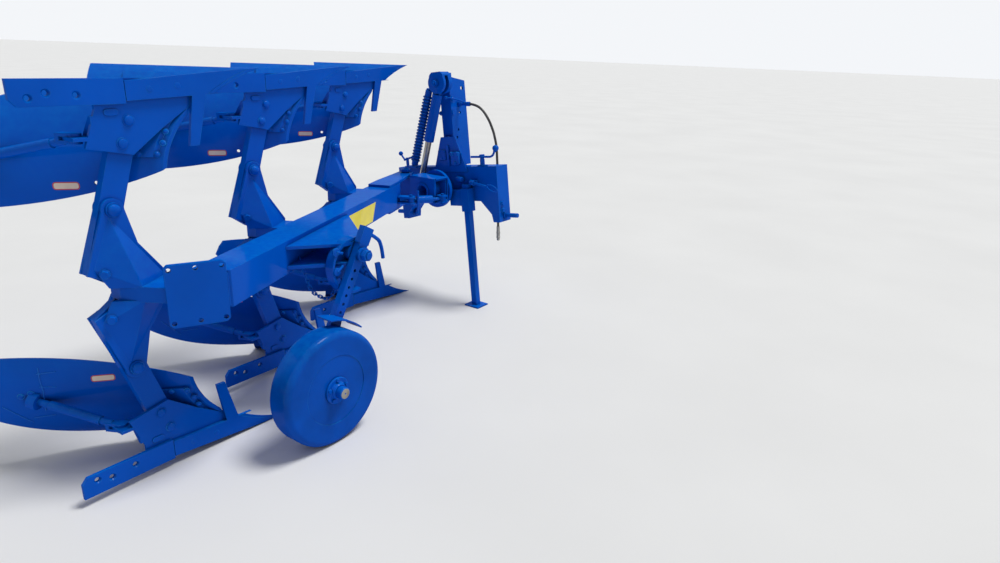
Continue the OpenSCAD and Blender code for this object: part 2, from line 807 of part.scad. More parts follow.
module swept_tube(p, r, n) {
  m = len(p);
  pts = [for (i = [0:m - 1]) each ring(p[i], tangent(p, i), r, n)];
  sides = [for (i = [0:m - 2], k = [0:n - 1])
    [i * n + k, i * n + (k + 1) % n, (i + 1) * n + (k + 1) % n, (i + 1) * n + k]];
  polyhedron(points = pts, faces = concat([[for (k = [n - 1:-1:0]) k]], sides,
    [[for (k = [0:n - 1]) (m - 1) * n + k]]));
}

module hose() {
  color(rubber) head() swept_tube(HOSE_ROUTE, hose_d / 2, hose_sides);
}

module hose_coupler() {
  a = HOSE_ROUTE[len(HOSE_ROUTE) - 1];
  d = tangent(HOSE_ROUTE, len(HOSE_ROUTE) - 1);
  color(steel) head() {
    rod_between(a, a + 26 * d, 12);
    rod_between(a + 26 * d, a + 62 * d, 16);
  }
}

// Frame of the turnover cylinder: its top pin is the origin and its rod points down -Z.
module cylinder_frame() {
  head() translate([rod_plane, cyl_top[0], cyl_top[1]]) rotate([cyl_lean, 0, 0]) children();
}

module cylinder_barrel() {
  color(blue) cylinder_frame() difference() {
    union() {
      translate([0, 0, -barrel_len]) cylinder(h = barrel_len - barrel_top, r = barrel_r, $fn = 96);
      pin_x(-eye_t / 2 + 1, eye_t / 2 - 1, 0, 0, 27);
      block([-eye_t / 2 + 1, -22, -barrel_top - 5], [eye_t / 2 - 1, 22, 0]);
    }
    translate([0, 0, -barrel_len + 34])
      cylinder(h = barrel_len - barrel_top - 43, r = barrel_r - 8, $fn = 96);
    translate([0, 0, -barrel_len - cut]) cylinder(h = 40, r = rod_r + fit, $fn = 96);
    pin_x(-eye_t, eye_t, 0, 0, cyl_pin_r + fit);
  }
}

module cylinder_rod() {
  color(steel) cylinder_frame() {
    translate([0, 0, -cyl_len + 20]) cylinder(h = cyl_len - 20 - 285, r = rod_r, $fn = 96);
    pin_x(-eye_t / 2, eye_t / 2, 0, -cyl_len, eye_r);
    pin_x(crank_x + crank_t - rod_plane + 0.8, eye_t / 2 + 4, 0, -cyl_len, cyl_pin_r);
  }
}

// Depth wheel

module wheel_arm() {
  run = [arm_head[0] - channel_end[0], arm_head[1] - channel_end[1]];
  lean = atan2(run[0], run[1]);
  reach = norm([arm_pivot_x - channel_end[0], mid_z - channel_end[1]]);
  long = norm(run);
  color(blue) difference() {
    union() {
      translate([arm_pivot_x, arm_out, mid_z]) rotate([0, lean, 0]) translate([-channel_w / 2, 0, -reach])
        difference() {
          union() {
            cube([channel_w, channel_d, long]);
            block([-5, 0, reach + 44], [channel_w + 5, channel_d, long]);
          }
          block([channel_t, channel_t, -cut], [channel_w - channel_t, channel_d + cut, reach - 34]);
          for (z = [40:38:reach - 60])
            pin_y(channel_w / 2, -cut, channel_t + cut, z, 7);
        }
      plate_xz(arm_out, arm_out + arm_bar_t) {
        polygon([[wheel_x - 27, wheel_r + 12], [wheel_x + 27, wheel_r - 12],
          [channel_end[0] + 34, channel_end[1] + 6], [channel_end[0] + 54, channel_end[1] + 62],
          [channel_end[0], channel_end[1] + 66], [channel_end[0] - 30, channel_end[1] + 12]]);
        translate([wheel_x, wheel_r]) circle(r = 30, $fn = 64);
      }
      // Scraper bent round the tread.
      plate_xz(arm_out - strap_w, arm_out + arm_bar_t) translate([wheel_x, wheel_r]) intersection() {
        difference() {
          circle(r = strap_r + strap_t, $fn = 180);
          circle(r = strap_r, $fn = 180);
        }
        polygon([[0, 0], 2 * strap_r * [cos(strap_from[0]), sin(strap_from[0])],
          2 * strap_r * [cos(strap_from[1]), sin(strap_from[1])]]);
      }
      pin_y(wheel_x, wheel_side - wheel_w - 42, arm_out + 1, wheel_r, wheel_axle_r);
    }
    pin_y(arm_pivot_x, arm_out - cut, arm_out + channel_d + cut, mid_z, arm_pin_r + fit);
  }
}

module wheel_profile() {
  half = wheel_w / 2;
  hub = wheel_axle_r + fit;
  r = 26;
  difference() {
    union() {
      translate([wheel_r - 60, r - half]) square([60, wheel_w - 2 * r]);
      for (s = [-1, 1]) translate([wheel_r - r, s * (half - r)]) circle(r = r, $fn = 64);
      translate([150, -half]) square([wheel_r - r - 150, wheel_w]);
      translate([hub, -half]) square([34, wheel_w]);
      translate([hub, -half + 12]) square([150, 8]);
      translate([hub, half - 10]) square([150, 8]);
      translate([hub, -half]) square([58, 20]);
    }
    translate([140, 22 - half]) square([wheel_r - 154, wheel_w - 44]);
  }
}

module depth_wheel() {
  color(blue) translate([wheel_x, wheel_side - wheel_w / 2, wheel_r]) rotate([90, 0, 0])
    rotate_extrude($fn = 128) wheel_profile();
}

place() main_beam();
place() rear_flange();
place() hinge_head();
place() hinge_pin();
place() swing_head();
place() turnover_shaft();
place() width_spindle();
place() wheel_console();
place() at_body(0) console_rear();
place() at_body(1) console();  // console_mid
place() at_body(2) console();  // console_front
place() at_body(0) legs();  // legs_rear
place() at_body(1) legs();  // legs_mid
place() at_body(2) legs();  // legs_front
place() at_body(0) frog();  // frog_rear_lower
place() at_body(0) upper() frog();  // frog_rear_upper
place() at_body(1) frog();  // frog_mid_lower
place() at_body(1) upper() frog();  // frog_mid_upper
place() at_body(2) frog();  // frog_front_lower
place() at_body(2) upper() frog();  // frog_front_upper
place() at_body(0) moldboard();  // moldboard_rear_lower
place() at_body(0) upper() moldboard();  // moldboard_rear_upper
place() at_body(1) moldboard();  // moldboard_mid_lower
place() at_body(1) upper() moldboard();  // moldboard_mid_upper
place() at_body(2) moldboard();  // moldboard_front_lower
place() at_body(2) upper() moldboard();  // moldboard_front_upper
place() at_body(0) share();  // share_rear_lower
place() at_body(0) upper() share();  // share_rear_upper
place() at_body(1) share();  // share_mid_lower
place() at_body(1) upper() share();  // share_mid_upper
place() at_body(2) share();  // share_front_lower
place() at_body(2) upper() share();  // share_front_upper
place() at_body(0) stays();  // stays_rear
place() at_body(1) stays();  // stays_mid
place() at_body(2) stays();  // stays_front
place() cross_box();
place() link_pins();
place() tower();
place() bearing_bracket();
place() latch_spring();
place() latch_lever();
place() stand_clamp();
place() hose_fitting();
place() hose();
place() hose_coupler();
place() cylinder_barrel();
place() cylinder_rod();
place() parking_stand();
place() wheel_arm();
place() depth_wheel();
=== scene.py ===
# Blue three-furrow reversible plough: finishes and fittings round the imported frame.
import math

import bmesh
import bpy
from mathutils import Matrix, Vector


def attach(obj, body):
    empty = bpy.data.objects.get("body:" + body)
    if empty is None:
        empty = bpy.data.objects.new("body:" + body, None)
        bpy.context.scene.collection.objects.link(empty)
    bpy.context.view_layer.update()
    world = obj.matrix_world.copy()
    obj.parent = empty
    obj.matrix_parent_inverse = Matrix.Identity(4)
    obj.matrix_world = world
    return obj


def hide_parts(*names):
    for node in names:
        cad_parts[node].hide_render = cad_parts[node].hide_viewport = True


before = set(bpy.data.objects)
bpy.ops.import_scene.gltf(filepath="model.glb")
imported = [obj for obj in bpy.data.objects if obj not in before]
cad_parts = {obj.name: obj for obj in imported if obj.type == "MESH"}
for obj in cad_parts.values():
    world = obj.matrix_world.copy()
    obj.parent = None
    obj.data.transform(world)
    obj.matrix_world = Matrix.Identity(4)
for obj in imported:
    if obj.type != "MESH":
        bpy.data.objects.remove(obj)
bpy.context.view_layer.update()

print("frame loaded:", len(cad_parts), "nodes")

# Where things are, in millimetres of the plough's own layout.
layout = {
    "rowShift": (432, 408, 0),
    "headAt": (1790, 450, 750),
    "headRoll": 7.5,
    "tipHeight": 1500,
    "bodyStep": (800, 350),
    "shareAngle": 39,
    "moldRadius": 430,
    "moldPlate": 10,
    "moldPitch": 25,
    "flangeAt": (-490, -15, 750),
    "flangeSkew": -25,
}
rowShift = Vector(layout["rowShift"])
headTurn = Matrix.Rotation(-math.radians(layout["headRoll"]), 3, "X")
beamTurn = Matrix.Rotation(math.atan2(layout["bodyStep"][1], layout["bodyStep"][0]), 3, "Z")
flangeTurn = Matrix.Rotation(math.radians(layout["flangeSkew"]), 3, "Z")
flangeFoot = beamTurn @ Vector(layout["flangeAt"])
bodyLabels = ("rear", "mid", "front")


def spot(x, y, z):
    return (Vector((x, y, z)) - rowShift) / 1000


def headSpot(x, y, z):
    return spot(*(Vector(layout["headAt"]) + headTurn @ Vector((x, y, z))))


def headWay(x, y, z):
    return headTurn @ Vector((x, y, z))


def beamSpot(u, v, z):
    return spot(*(beamTurn @ Vector((u, v, z))))


def beamWay(x, y, z):
    return beamTurn @ Vector((x, y, z))


def flangeSpot(x, y, z):
    return spot(*(flangeFoot + flangeTurn @ Vector((x, y, z))))


def bodySpot(index, x, y, z, upper=False):
    # A point of one plough body, counted from the rear; the upper one mirrors the lower.
    height = layout["tipHeight"] - z if upper else z
    return spot(layout["bodyStep"][0] * index + x, layout["bodyStep"][1] * index + y, height)


def bodyWay(x, y, z, upper=False):
    return Vector((x, y, -z if upper else z))


def moldCentre():
    # Axis of the moldboard's cylinder: how far behind the share edge, and how high.
    base = layout["moldRadius"] - layout["moldPlate"]
    pitch = math.radians(layout["moldPitch"])
    return base * math.sin(pitch), base * math.cos(pitch)


def moldSpot(index, along, height, upper=False, proud=0.0):
    # A point on the back of a moldboard: distance along the share edge, and height.
    turn = math.radians(layout["shareAngle"])
    behind, centreHeight = moldCentre()
    radius = layout["moldRadius"] + proud
    drop = centreHeight - height
    reach = behind - math.sqrt(radius * radius - drop * drop)
    x = -along * math.cos(turn) + reach * math.sin(turn)
    y = along * math.sin(turn) + reach * math.cos(turn)
    return bodySpot(index, x, y, height, upper)


def moldWay(height, upper=False):
    # Straight out of the moldboard's back at that height.
    turn = math.radians(layout["shareAngle"])
    drop = moldCentre()[1] - height
    flat = math.sqrt(layout["moldRadius"] ** 2 - drop * drop)
    return bodyWay(-flat * math.sin(turn), -flat * math.cos(turn), -drop, upper).normalized()


# Camera
cameraView = {
    "at": (-2.081, -2.715, 1.584),
    "heading": 34.26,
    "down": 18.81,
    "roll": -2.281,
    "lens": 23.958,
    "sensor": 36,
    "nearest": 0.02,
    "farthest": 900,
}


def placeCamera(view):
    heading, down, roll = (math.radians(view[k]) for k in ("heading", "down", "roll"))
    flat = math.cos(down)
    ahead = Vector((math.cos(heading) * flat, math.sin(heading) * flat, -math.sin(down)))
    level = Vector((math.sin(heading), -math.cos(heading), 0))
    below = ahead.cross(level)
    right = math.cos(roll) * level + math.sin(roll) * below
    under = math.cos(roll) * below - math.sin(roll) * level
    lens = bpy.data.cameras.new("camera")
    lens.lens = view["lens"]
    lens.sensor_width = view["sensor"]
    lens.clip_start = view["nearest"]
    lens.clip_end = view["farthest"]
    camera = bpy.data.objects.new("camera", lens)
    turn = Matrix((right, -under, -ahead)).transposed().to_4x4()
    turn.translation = Vector(view["at"])
    camera.matrix_world = turn
    bpy.context.scene.collection.objects.link(camera)
    bpy.context.scene.camera = camera


placeCamera(cameraView)
print("camera placed")


# Finishes
def newGroup(name, inputs, outputs):
    group = bpy.data.node_groups.new(name, "ShaderNodeTree")
    for label, kind, value in inputs:
        socket = group.interface.new_socket(label, in_out="INPUT", socket_type=kind)
        socket.default_value = value
    for label, kind in outputs:
        group.interface.new_socket(label, in_out="OUTPUT", socket_type=kind)
    return group, group.nodes.new("NodeGroupInput"), group.nodes.new("NodeGroupOutput")


def mathNode(tree, operation, first, second=None, clamp=False):
    node = tree.nodes.new("ShaderNodeMath")
    node.operation = operation
    node.use_clamp = clamp
    for socket, value in zip(node.inputs, (first, second)):
        if value is None:
            continue
        if isinstance(value, (int, float)):
            socket.default_value = value
        else:
            tree.links.new(value, socket)
    return node.outputs[0]


def noiseNode(tree, scale, detail=3.0, stretch=None):
    coords = tree.nodes.new("ShaderNodeTexCoord")
    noise = tree.nodes.new("ShaderNodeTexNoise")
    noise.inputs["Detail"].default_value = detail
    source = coords.outputs["Object"]
    if stretch:
        mapping = tree.nodes.new("ShaderNodeMapping")
        mapping.inputs["Scale"].default_value = stretch
        tree.links.new(source, mapping.inputs["Vector"])
        source = mapping.outputs["Vector"]
    tree.links.new(source, noise.inputs["Vector"])
    if isinstance(scale, (int, float)):
        noise.inputs["Scale"].default_value = scale
    else:
        tree.links.new(scale, noise.inputs["Scale"])
    return noise.outputs["Fac"]


def rangeNode(tree, value, low, high, toLow, toHigh):
    node = tree.nodes.new("ShaderNodeMapRange")
    node.clamp = True
    tree.links.new(value, node.inputs["Value"])
    ends = {"From Min": low, "From Max": high, "To Min": toLow, "To Max": toHigh}
    for label, number in ends.items():
        if isinstance(number, (int, float)):
            node.inputs[label].default_value = number
        else:
            tree.links.new(number, node.inputs[label])
    return node.outputs["Result"]


def mixNode(tree, factor, first, second, blend="MIX"):
    node = tree.nodes.new("ShaderNodeMix")
    node.data_type = "RGBA"
    node.blend_type = blend
    sockets = (node.inputs[0], node.inputs[6], node.inputs[7])
    for socket, value in zip(sockets, (factor, first, second)):
        if isinstance(value, (int, float)):
            socket.default_value = value
        elif isinstance(value, tuple):
            socket.default_value = (*value, 1)
        else:
            tree.links.new(value, socket)
    return node.outputs[2]


def greyOf(tree, value):
    grey = tree.nodes.new("ShaderNodeCombineColor")
    for channel in range(3):
        tree.links.new(value, grey.inputs[channel])
    return grey.outputs[0]


coatPattern = {
    "cloudRange": (0.32, 0.68), "cloudDetail": 4,
    "shadeRange": (0.85, 0.25), "shadeColor": (0.0006, 0.012, 0.06), "shadeSamples": 6,
    "facingRange": (-0.1, 0.8),
    "speckScale": 38.0, "speckDetail": 6, "speckRange": (0.36, 0.72, 0.35, 1.0),
    "smearScale": 17.0, "smearDetail": 5, "smearRange": (0.3, 0.7, -0.05, 0.07),
    "peelScale": 210.0, "peelDetail": 2,
}


def buildPaintCoat(pattern):
    # Sprayed gloss paint: clouding of the colour, painted shade in hollows, rougher specks on
    # what faces up in a lighter blue (dust and painted sky sheen), and orange peel.
    group, given, made = newGroup(
        "paintCoat",
        [("Paint", "NodeSocketColor", (0.01, 0.09, 0.6, 1)),
         ("Dust And Sheen", "NodeSocketColor", (0.3, 0.34, 0.38, 1)),
         ("Dust And Sheen Amount", "NodeSocketFloat", 0.1), ("Clouding", "NodeSocketFloat", 0.08),
         ("Cloud Scale", "NodeSocketFloat", 5.0), ("Roughness", "NodeSocketFloat", 0.3),
         ("Painted Shade", "NodeSocketFloat", 0.5), ("Shade Reach", "NodeSocketFloat", 0.05)],
        [("Color", "NodeSocketColor"), ("Roughness", "NodeSocketFloat"),
         ("Height", "NodeSocketFloat")])
    cloud = noiseNode(group, given.outputs["Cloud Scale"], pattern["cloudDetail"])
    low = mathNode(group, "SUBTRACT", 1.0, given.outputs["Clouding"])
    high = mathNode(group, "ADD", 1.0, given.outputs["Clouding"])
    tone = rangeNode(group, cloud, *pattern["cloudRange"], low, high)
    toned = mixNode(group, 1.0, given.outputs["Paint"], greyOf(group, tone), "MULTIPLY")
    # Painted shade: dark blue mixed in where ambient occlusion finds hollows and gaps between
    # parts.
    occlusion = group.nodes.new("ShaderNodeAmbientOcclusion")
    occlusion.samples = pattern["shadeSamples"]
    group.links.new(given.outputs["Shade Reach"], occlusion.inputs["Distance"])
    depth = rangeNode(group, occlusion.outputs["AO"], *pattern["shadeRange"], 0.0, 1.0)
    shade = mathNode(group, "MULTIPLY", depth, given.outputs["Painted Shade"], True)
    toned = mixNode(group, shade, toned, pattern["shadeColor"])
    # Specks on faces that point up: rougher, as dust is, and mixed towards a lighter blue, a
    # painted sky sheen.
    shape = group.nodes.new("ShaderNodeNewGeometry")
    split = group.nodes.new("ShaderNodeSeparateXYZ")
    group.links.new(shape.outputs["Normal"], split.inputs[0])
    facing = rangeNode(group, split.outputs["Z"], *pattern["facingRange"], 0.0, 1.0)
    specks = noiseNode(group, pattern["speckScale"], pattern["speckDetail"])
    laid = mathNode(group, "MULTIPLY", facing, rangeNode(group, specks, *pattern["speckRange"]))
    dustAndSheen = mathNode(group, "MULTIPLY", laid, given.outputs["Dust And Sheen Amount"], True)
    color = mixNode(group, dustAndSheen, toned, given.outputs["Dust And Sheen"])
    group.links.new(color, made.inputs["Color"])
    smears = noiseNode(group, pattern["smearScale"], pattern["smearDetail"])
    smear = rangeNode(group, smears, *pattern["smearRange"])
    rough = mathNode(group, "ADD", given.outputs["Roughness"], smear)
    group.links.new(mathNode(group, "ADD", rough, dustAndSheen, True), made.inputs["Roughness"])
    peel = noiseNode(group, pattern["peelScale"], pattern["peelDetail"])
    group.links.new(peel, made.inputs["Height"])
    return group


highlightPattern = {
    "radius": 0.004, "samples": 4, "edgeRange": (0.995, 0.86),
    "patchDetail": 5, "patchRange": (0.45, 0.62, 0.1, 1.0),
}


def buildEdgeHighlight(pattern):
    # Mask of sharp outer edges for a painted highlight, broken up so that it comes and goes.
    group, given, made = newGroup(
        "edgeHighlight",
        [("Patch Scale", "NodeSocketFloat", 14.0), ("Amount", "NodeSocketFloat", 0.5)],
        [("Mask", "NodeSocketFloat")])
    bevel = group.nodes.new("ShaderNodeBevel")
    bevel.samples = pattern["samples"]
    bevel.inputs["Radius"].default_value = pattern["radius"]
    shape = group.nodes.new("ShaderNodeNewGeometry")
    dot = group.nodes.new("ShaderNodeVectorMath")
    dot.operation = "DOT_PRODUCT"
    group.links.new(bevel.outputs["Normal"], dot.inputs[0])
    group.links.new(shape.outputs["Normal"], dot.inputs[1])
    edge = rangeNode(group, dot.outputs["Value"], *pattern["edgeRange"], 0.0, 1.0)
    patches = noiseNode(group, given.outputs["Patch Scale"], pattern["patchDetail"])
    shining = mathNode(group, "MULTIPLY", edge, rangeNode(group, patches, *pattern["patchRange"]))
    mask = mathNode(group, "MULTIPLY", shining, given.outputs["Amount"], True)
    group.links.new(mask, made.inputs["Mask"])
    return group


grainPattern = {
    "stainScale": 22.0, "stainDetail": 6, "stainRange": (0.4, 0.7),
    "grainDetail": 3, "roughRange": (0.3, 0.7, -0.08, 0.1),
}


def buildFineGrain(pattern):
    # Even grain for rubber, cast metal and vinyl: a tone, a roughness and a height.
    group, given, made = newGroup(
        "fineGrain",
        [("Base", "NodeSocketColor", (0.5, 0.5, 0.5, 1)),
         ("Stain", "NodeSocketColor", (0.3, 0.25, 0.2, 1)),
         ("Stain Amount", "NodeSocketFloat", 0.2), ("Grain Scale", "NodeSocketFloat", 300.0),
         ("Roughness", "NodeSocketFloat", 0.5)],
        [("Color", "NodeSocketColor"), ("Roughness", "NodeSocketFloat"),
         ("Height", "NodeSocketFloat")])
    stains = noiseNode(group, pattern["stainScale"], pattern["stainDetail"])
    stain = rangeNode(group, stains, *pattern["stainRange"], 0.0, 1.0)
    stain = mathNode(group, "MULTIPLY", stain, given.outputs["Stain Amount"], True)
    grain = noiseNode(group, given.outputs["Grain Scale"], pattern["grainDetail"])
    color = mixNode(group, stain, given.outputs["Base"], given.outputs["Stain"])
    group.links.new(color, made.inputs["Color"])
    change = rangeNode(group, grain, *pattern["roughRange"])
    rough = mathNode(group, "ADD", given.outputs["Roughness"], change, True)
    group.links.new(rough, made.inputs["Roughness"])
    group.links.new(grain, made.inputs["Height"])
    return group


paintCoat = buildPaintCoat(coatPattern)
edgeHighlight = buildEdgeHighlight(highlightPattern)
fineGrain = buildFineGrain(grainPattern)
reliefDepth = {"paint": 0.0004, "grain": 0.0004, "chrome": 0.0003}


def placeGroup(tree, group, values):
    node = tree.nodes.new("ShaderNodeGroup")
    node.node_tree = group
    for label, value in values.items():
        node.inputs[label].default_value = (*value, 1) if isinstance(value, tuple) else value
    return node


def newMaterial(name):
    material = bpy.data.materials.new(name)
    material.use_nodes = True
    tree = material.node_tree
    return material, tree, tree.nodes["Principled BSDF"]


def addBump(tree, shader, height, strength, distance, rounding=None):
    bump = tree.nodes.new("ShaderNodeBump")
    bump.inputs["Strength"].default_value = strength
    bump.inputs["Distance"].default_value = distance
    tree.links.new(height, bump.inputs["Height"])
    if rounding:
        bevel = tree.nodes.new("ShaderNodeBevel")
        bevel.samples = 4
        bevel.inputs["Radius"].default_value = rounding
        tree.links.new(bevel.outputs["Normal"], bump.inputs["Normal"])
    tree.links.new(bump.outputs["Normal"], shader.inputs["Normal"])


def paintMaterial(name, values):
    material, tree, shader = newMaterial(name)
    coat = placeGroup(tree, paintCoat, {
        "Paint": values["paint"], "Dust And Sheen": values["dustAndSheen"], "Dust And Sheen Amount": values["dustAndSheenAmount"],
        "Clouding": values["clouding"], "Cloud Scale": values["cloudScale"],
        "Roughness": values["roughness"],
        "Painted Shade": values["paintedShade"], "Shade Reach": values["shadeReach"]})
    # Painted highlight: sharp edges mixed towards a lighter blue.
    edgeShine = placeGroup(tree, edgeHighlight, {"Amount": values["edgeShine"]})
    color = mixNode(tree, edgeShine.outputs["Mask"], coat.outputs["Color"], values["highlightPaint"])
    tree.links.new(color, shader.inputs["Base Color"])
    tree.links.new(coat.outputs["Roughness"], shader.inputs["Roughness"])
    shader.inputs["Specular IOR Level"].default_value = values["specular"]
    shader.inputs["Coat Weight"].default_value = values["coat"]
    shader.inputs["Coat Roughness"].default_value = values["coatRoughness"]
    addBump(tree, shader, coat.outputs["Height"], values["peel"], reliefDepth["paint"],
            values["rounding"])
    return material


def grainMaterial(name, values):
    material, tree, shader = newMaterial(name)
    grain = placeGroup(tree, fineGrain, {
        "Base": values["base"], "Stain": values["stain"], "Stain Amount": values["stainAmount"],
        "Grain Scale": values["grainScale"], "Roughness": values["roughness"]})
    tree.links.new(grain.outputs["Color"], shader.inputs["Base Color"])
    tree.links.new(grain.outputs["Roughness"], shader.inputs["Roughness"])
    shader.inputs["Metallic"].default_value = values.get("metallic", 0.0)
    shader.inputs["Coat Weight"].default_value = values.get("coat", 0.0)
    addBump(tree, shader, grain.outputs["Height"], values["bump"], reliefDepth["grain"],
            values.get("rounding"))
    return material


# The gloss comes from the clear coat alone, so the paint below it has no specular of its own.
bluePaint = {
    # The dust colour here is a lighter blue: painted sky sheen on what faces up.
    "paint": (0.0004, 0.085, 0.54), "dustAndSheen": (0.002, 0.185, 0.64), "dustAndSheenAmount": 0.55,
    "clouding": 0.08, "cloudScale": 4.0, "roughness": 0.28, "peel": 0.06, "rounding": 0.003,
    "edgeShine": 0.55, "highlightPaint": (0.02, 0.27, 0.74),
    "coat": 0.14, "coatRoughness": 0.12, "specular": 0.0,
    "paintedShade": 0.75, "shadeReach": 0.05,
}
blueMaterial = paintMaterial("bluePaint", bluePaint)
boltMaterial = paintMaterial("paintedBolt", {
    **bluePaint, "clouding": 0.10, "cloudScale": 18.0, "edgeShine": 0.8, "rounding": 0.0009,
    "peel": 0.1, "shadeReach": 0.012})
# Lighter copy of the blue paint on the weld beads, without painted shade: a painted highlight
# along them.
litSeamMaterial = paintMaterial("litSeamPaint", {
    **bluePaint, "paint": (0.012, 0.13, 0.60), "rounding": 0.0005, "paintedShade": 0.0})
# Darker copy of the blue paint on the wheel: painted shade for its face, turned away from the
# light.
shadedWheelMaterial = paintMaterial("shadedWheelPaint", {
    **bluePaint, "paint": (0.0004, 0.070, 0.44), "dustAndSheen": (0.002, 0.17, 0.58), "clouding": 0.14,
    "cloudScale": 7.0, "roughness": 0.30, "coatRoughness": 0.14, "shadeReach": 0.03})
# Full painted shade, dark in the gaps between the spring's coils.
springMaterial = paintMaterial("springPaint", {
    **bluePaint, "rounding": 0.0009, "paintedShade": 1.0, "shadeReach": 0.02})
rubberMaterial = grainMaterial("hoseRubber", {
    "base": (0.020, 0.019, 0.018), "stain": (0.11, 0.10, 0.09), "stainAmount": 0.35,
    "grainScale": 700.0, "roughness": 0.42, "bump": 0.12, "coat": 0.15})
zincMaterial = grainMaterial("zincPlate", {
    "base": (0.30, 0.30, 0.29), "stain": (0.16, 0.13, 0.10), "stainAmount": 0.5,
    "grainScale": 420.0, "roughness": 0.38, "bump": 0.15, "metallic": 1.0})
bareMaterial = grainMaterial("bareSteel", {
    "base": (0.36, 0.35, 0.33), "stain": (0.17, 0.10, 0.06), "stainAmount": 0.55,
    "grainScale": 260.0, "roughness": 0.45, "bump": 0.2, "metallic": 1.0, "rounding": 0.001})
vinyl = {"stainAmount": 0.4, "grainScale": 160.0, "roughness": 0.4, "bump": 0.05, "coat": 0.3}
decalMaterial = grainMaterial("yellowVinyl", {
    **vinyl, "base": (0.86, 0.72, 0.012), "stain": (0.62, 0.50, 0.05), "stainAmount": 0.30,
    "roughness": 0.36, "coat": 0.4})
creamMaterial = grainMaterial("creamVinyl", {
    **vinyl, "base": (0.74, 0.62, 0.52), "stain": (0.52, 0.42, 0.36)})
redMaterial = grainMaterial("redVinyl", {
    **vinyl, "base": (0.52, 0.035, 0.03), "stain": (0.30, 0.03, 0.03)})
chromeRod = {
    "lineScale": 30.0, "lineDetail": 2, "lineStretch": (1, 1, 60), "lineRange": (0.3, 0.7),
    "roughness": (0.24, 0.36), "bump": 0.04,
    "filmScale": 9.0, "filmDetail": 4, "filmRange": (0.4, 0.7),
    "base": (0.44, 0.43, 0.41), "oiled": (0.29, 0.26, 0.22),
}


def chromeMaterial(name, values):
    # Ground and chromed rod: fine lines round it, a light oil film along it.
    material, tree, shader = newMaterial(name)
    lines = noiseNode(tree, values["lineScale"], values["lineDetail"], values["lineStretch"])
    film = noiseNode(tree, values["filmScale"], values["filmDetail"])
    rough = rangeNode(tree, lines, *values["lineRange"], *values["roughness"])
    tree.links.new(rough, shader.inputs["Roughness"])
    oil = rangeNode(tree, film, *values["filmRange"], 0.0, 1.0)
    color = mixNode(tree, oil, values["base"], values["oiled"])
    tree.links.new(color, shader.inputs["Base Color"])
    shader.inputs["Metallic"].default_value = 1.0
    addBump(tree, shader, lines, values["bump"], reliefDepth["chrome"])
    return material


rodMaterial = chromeMaterial("chromeRod", chromeRod)
nodeFinish = {"hose": rubberMaterial, "hose_coupler": zincMaterial, "cylinder_rod": rodMaterial,
              "latch_spring": springMaterial, "depth_wheel": shadedWheelMaterial}
for nodeName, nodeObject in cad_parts.items():
    nodeObject.data.materials.clear()
    nodeObject.data.materials.append(nodeFinish.get(nodeName, blueMaterial))
print("finishes made:", len(bpy.data.materials))


# Mesh tools
def steadyAxis(way):
    return Vector((0, 0, 1)) if abs(way.z) < 0.9 else Vector((1, 0, 0))


def standUp(at, way, spin=0.0):
    # Frame at a point, its Z along way; sizes given in it are millimetres.
    up = way.normalized()
    side = steadyAxis(up).cross(up).normalized()
    turn = Matrix((side, up.cross(side), up)).transposed().to_4x4() @ Matrix.Rotation(spin, 4, "Z")
    turn.translation = at
    return turn @ Matrix.Scale(0.001, 4)


def addRings(bm, place, rings):
    made = [[bm.verts.new(place @ Vector(p)) for p in ring] for ring in rings]
    for near, far in zip(made, made[1:]):
        count = len(near)
        for k in range(count):
            bm.faces.new((near[k], near[(k + 1) % count], far[(k + 1) % count], far[k]))
    bm.faces.new(made[0][::-1])
    bm.faces.new(made[-1])


def addLathe(bm, at, way, profile, sides=28, spin=0.0):
    # profile is a list of (radius, height).
    steps = [2 * math.pi * k / sides for k in range(sides)]
    addRings(bm, standUp(at, way, spin),
             [[(r * math.cos(a), r * math.sin(a), h) for a in steps] for r, h in profile])


# Sizes of bolts and nuts, as shares of the thread's size; thread steps in millimetres.
fastener = {
    "flats": 1.55, "head": 0.64, "nut": 0.85, "turnedOff": 0.97,
    "chamferLow": 0.06, "chamferHigh": 0.07,
    "washer": 0.18, "washerRadius": 1.02, "washerRim": 1.06,
    "threadRoot": 0.45, "threadEnd": 0.43, "threadStep": 2.0,
}


def addHex(bm, at, way, across, low, high, spin=0.0, bothEnds=False):
    # Six flats with the corners turned off at the end, as on a bolt's head.
    half = across / 2
    steps = [math.pi * k / 18 for k in range(36)]

    def flatAt(a):
        return half / math.cos((a + math.pi / 6) % (math.pi / 3) - math.pi / 6)

    def ring(height, cut):
        radii = [min(flatAt(a), cut) for a in steps]
        return [(r * math.cos(a), r * math.sin(a), height) for r, a in zip(radii, steps)]

    corner = half / math.cos(math.pi / 6)
    turned = half * fastener["turnedOff"]
    rings = [ring(low, corner)]
    if bothEnds:
        rings = [ring(low, turned), ring(low + across * fastener["chamferLow"], corner)]
    rings += [ring(high - across * fastener["chamferHigh"], corner), ring(high, turned)]
    addRings(bm, standUp(at, way, spin), rings)


def addWasher(bm, at, way, size):
    base = size * fastener["washer"]
    radius, rim = size * fastener["washerRadius"], size * fastener["washerRim"]
    addLathe(bm, at, way, [(radius, 0), (rim, size * 0.04), (rim, base * 0.8), (size, base)])
    return base


def addBolt(bm, at, way, size, spin=0.3):
    # Washer and hex head of a bolt of that thread size, seated at a point on a face.
    base = addWasher(bm, at, way, size)
    addHex(bm, at, way, size * fastener["flats"], base, base + size * fastener["head"], spin)


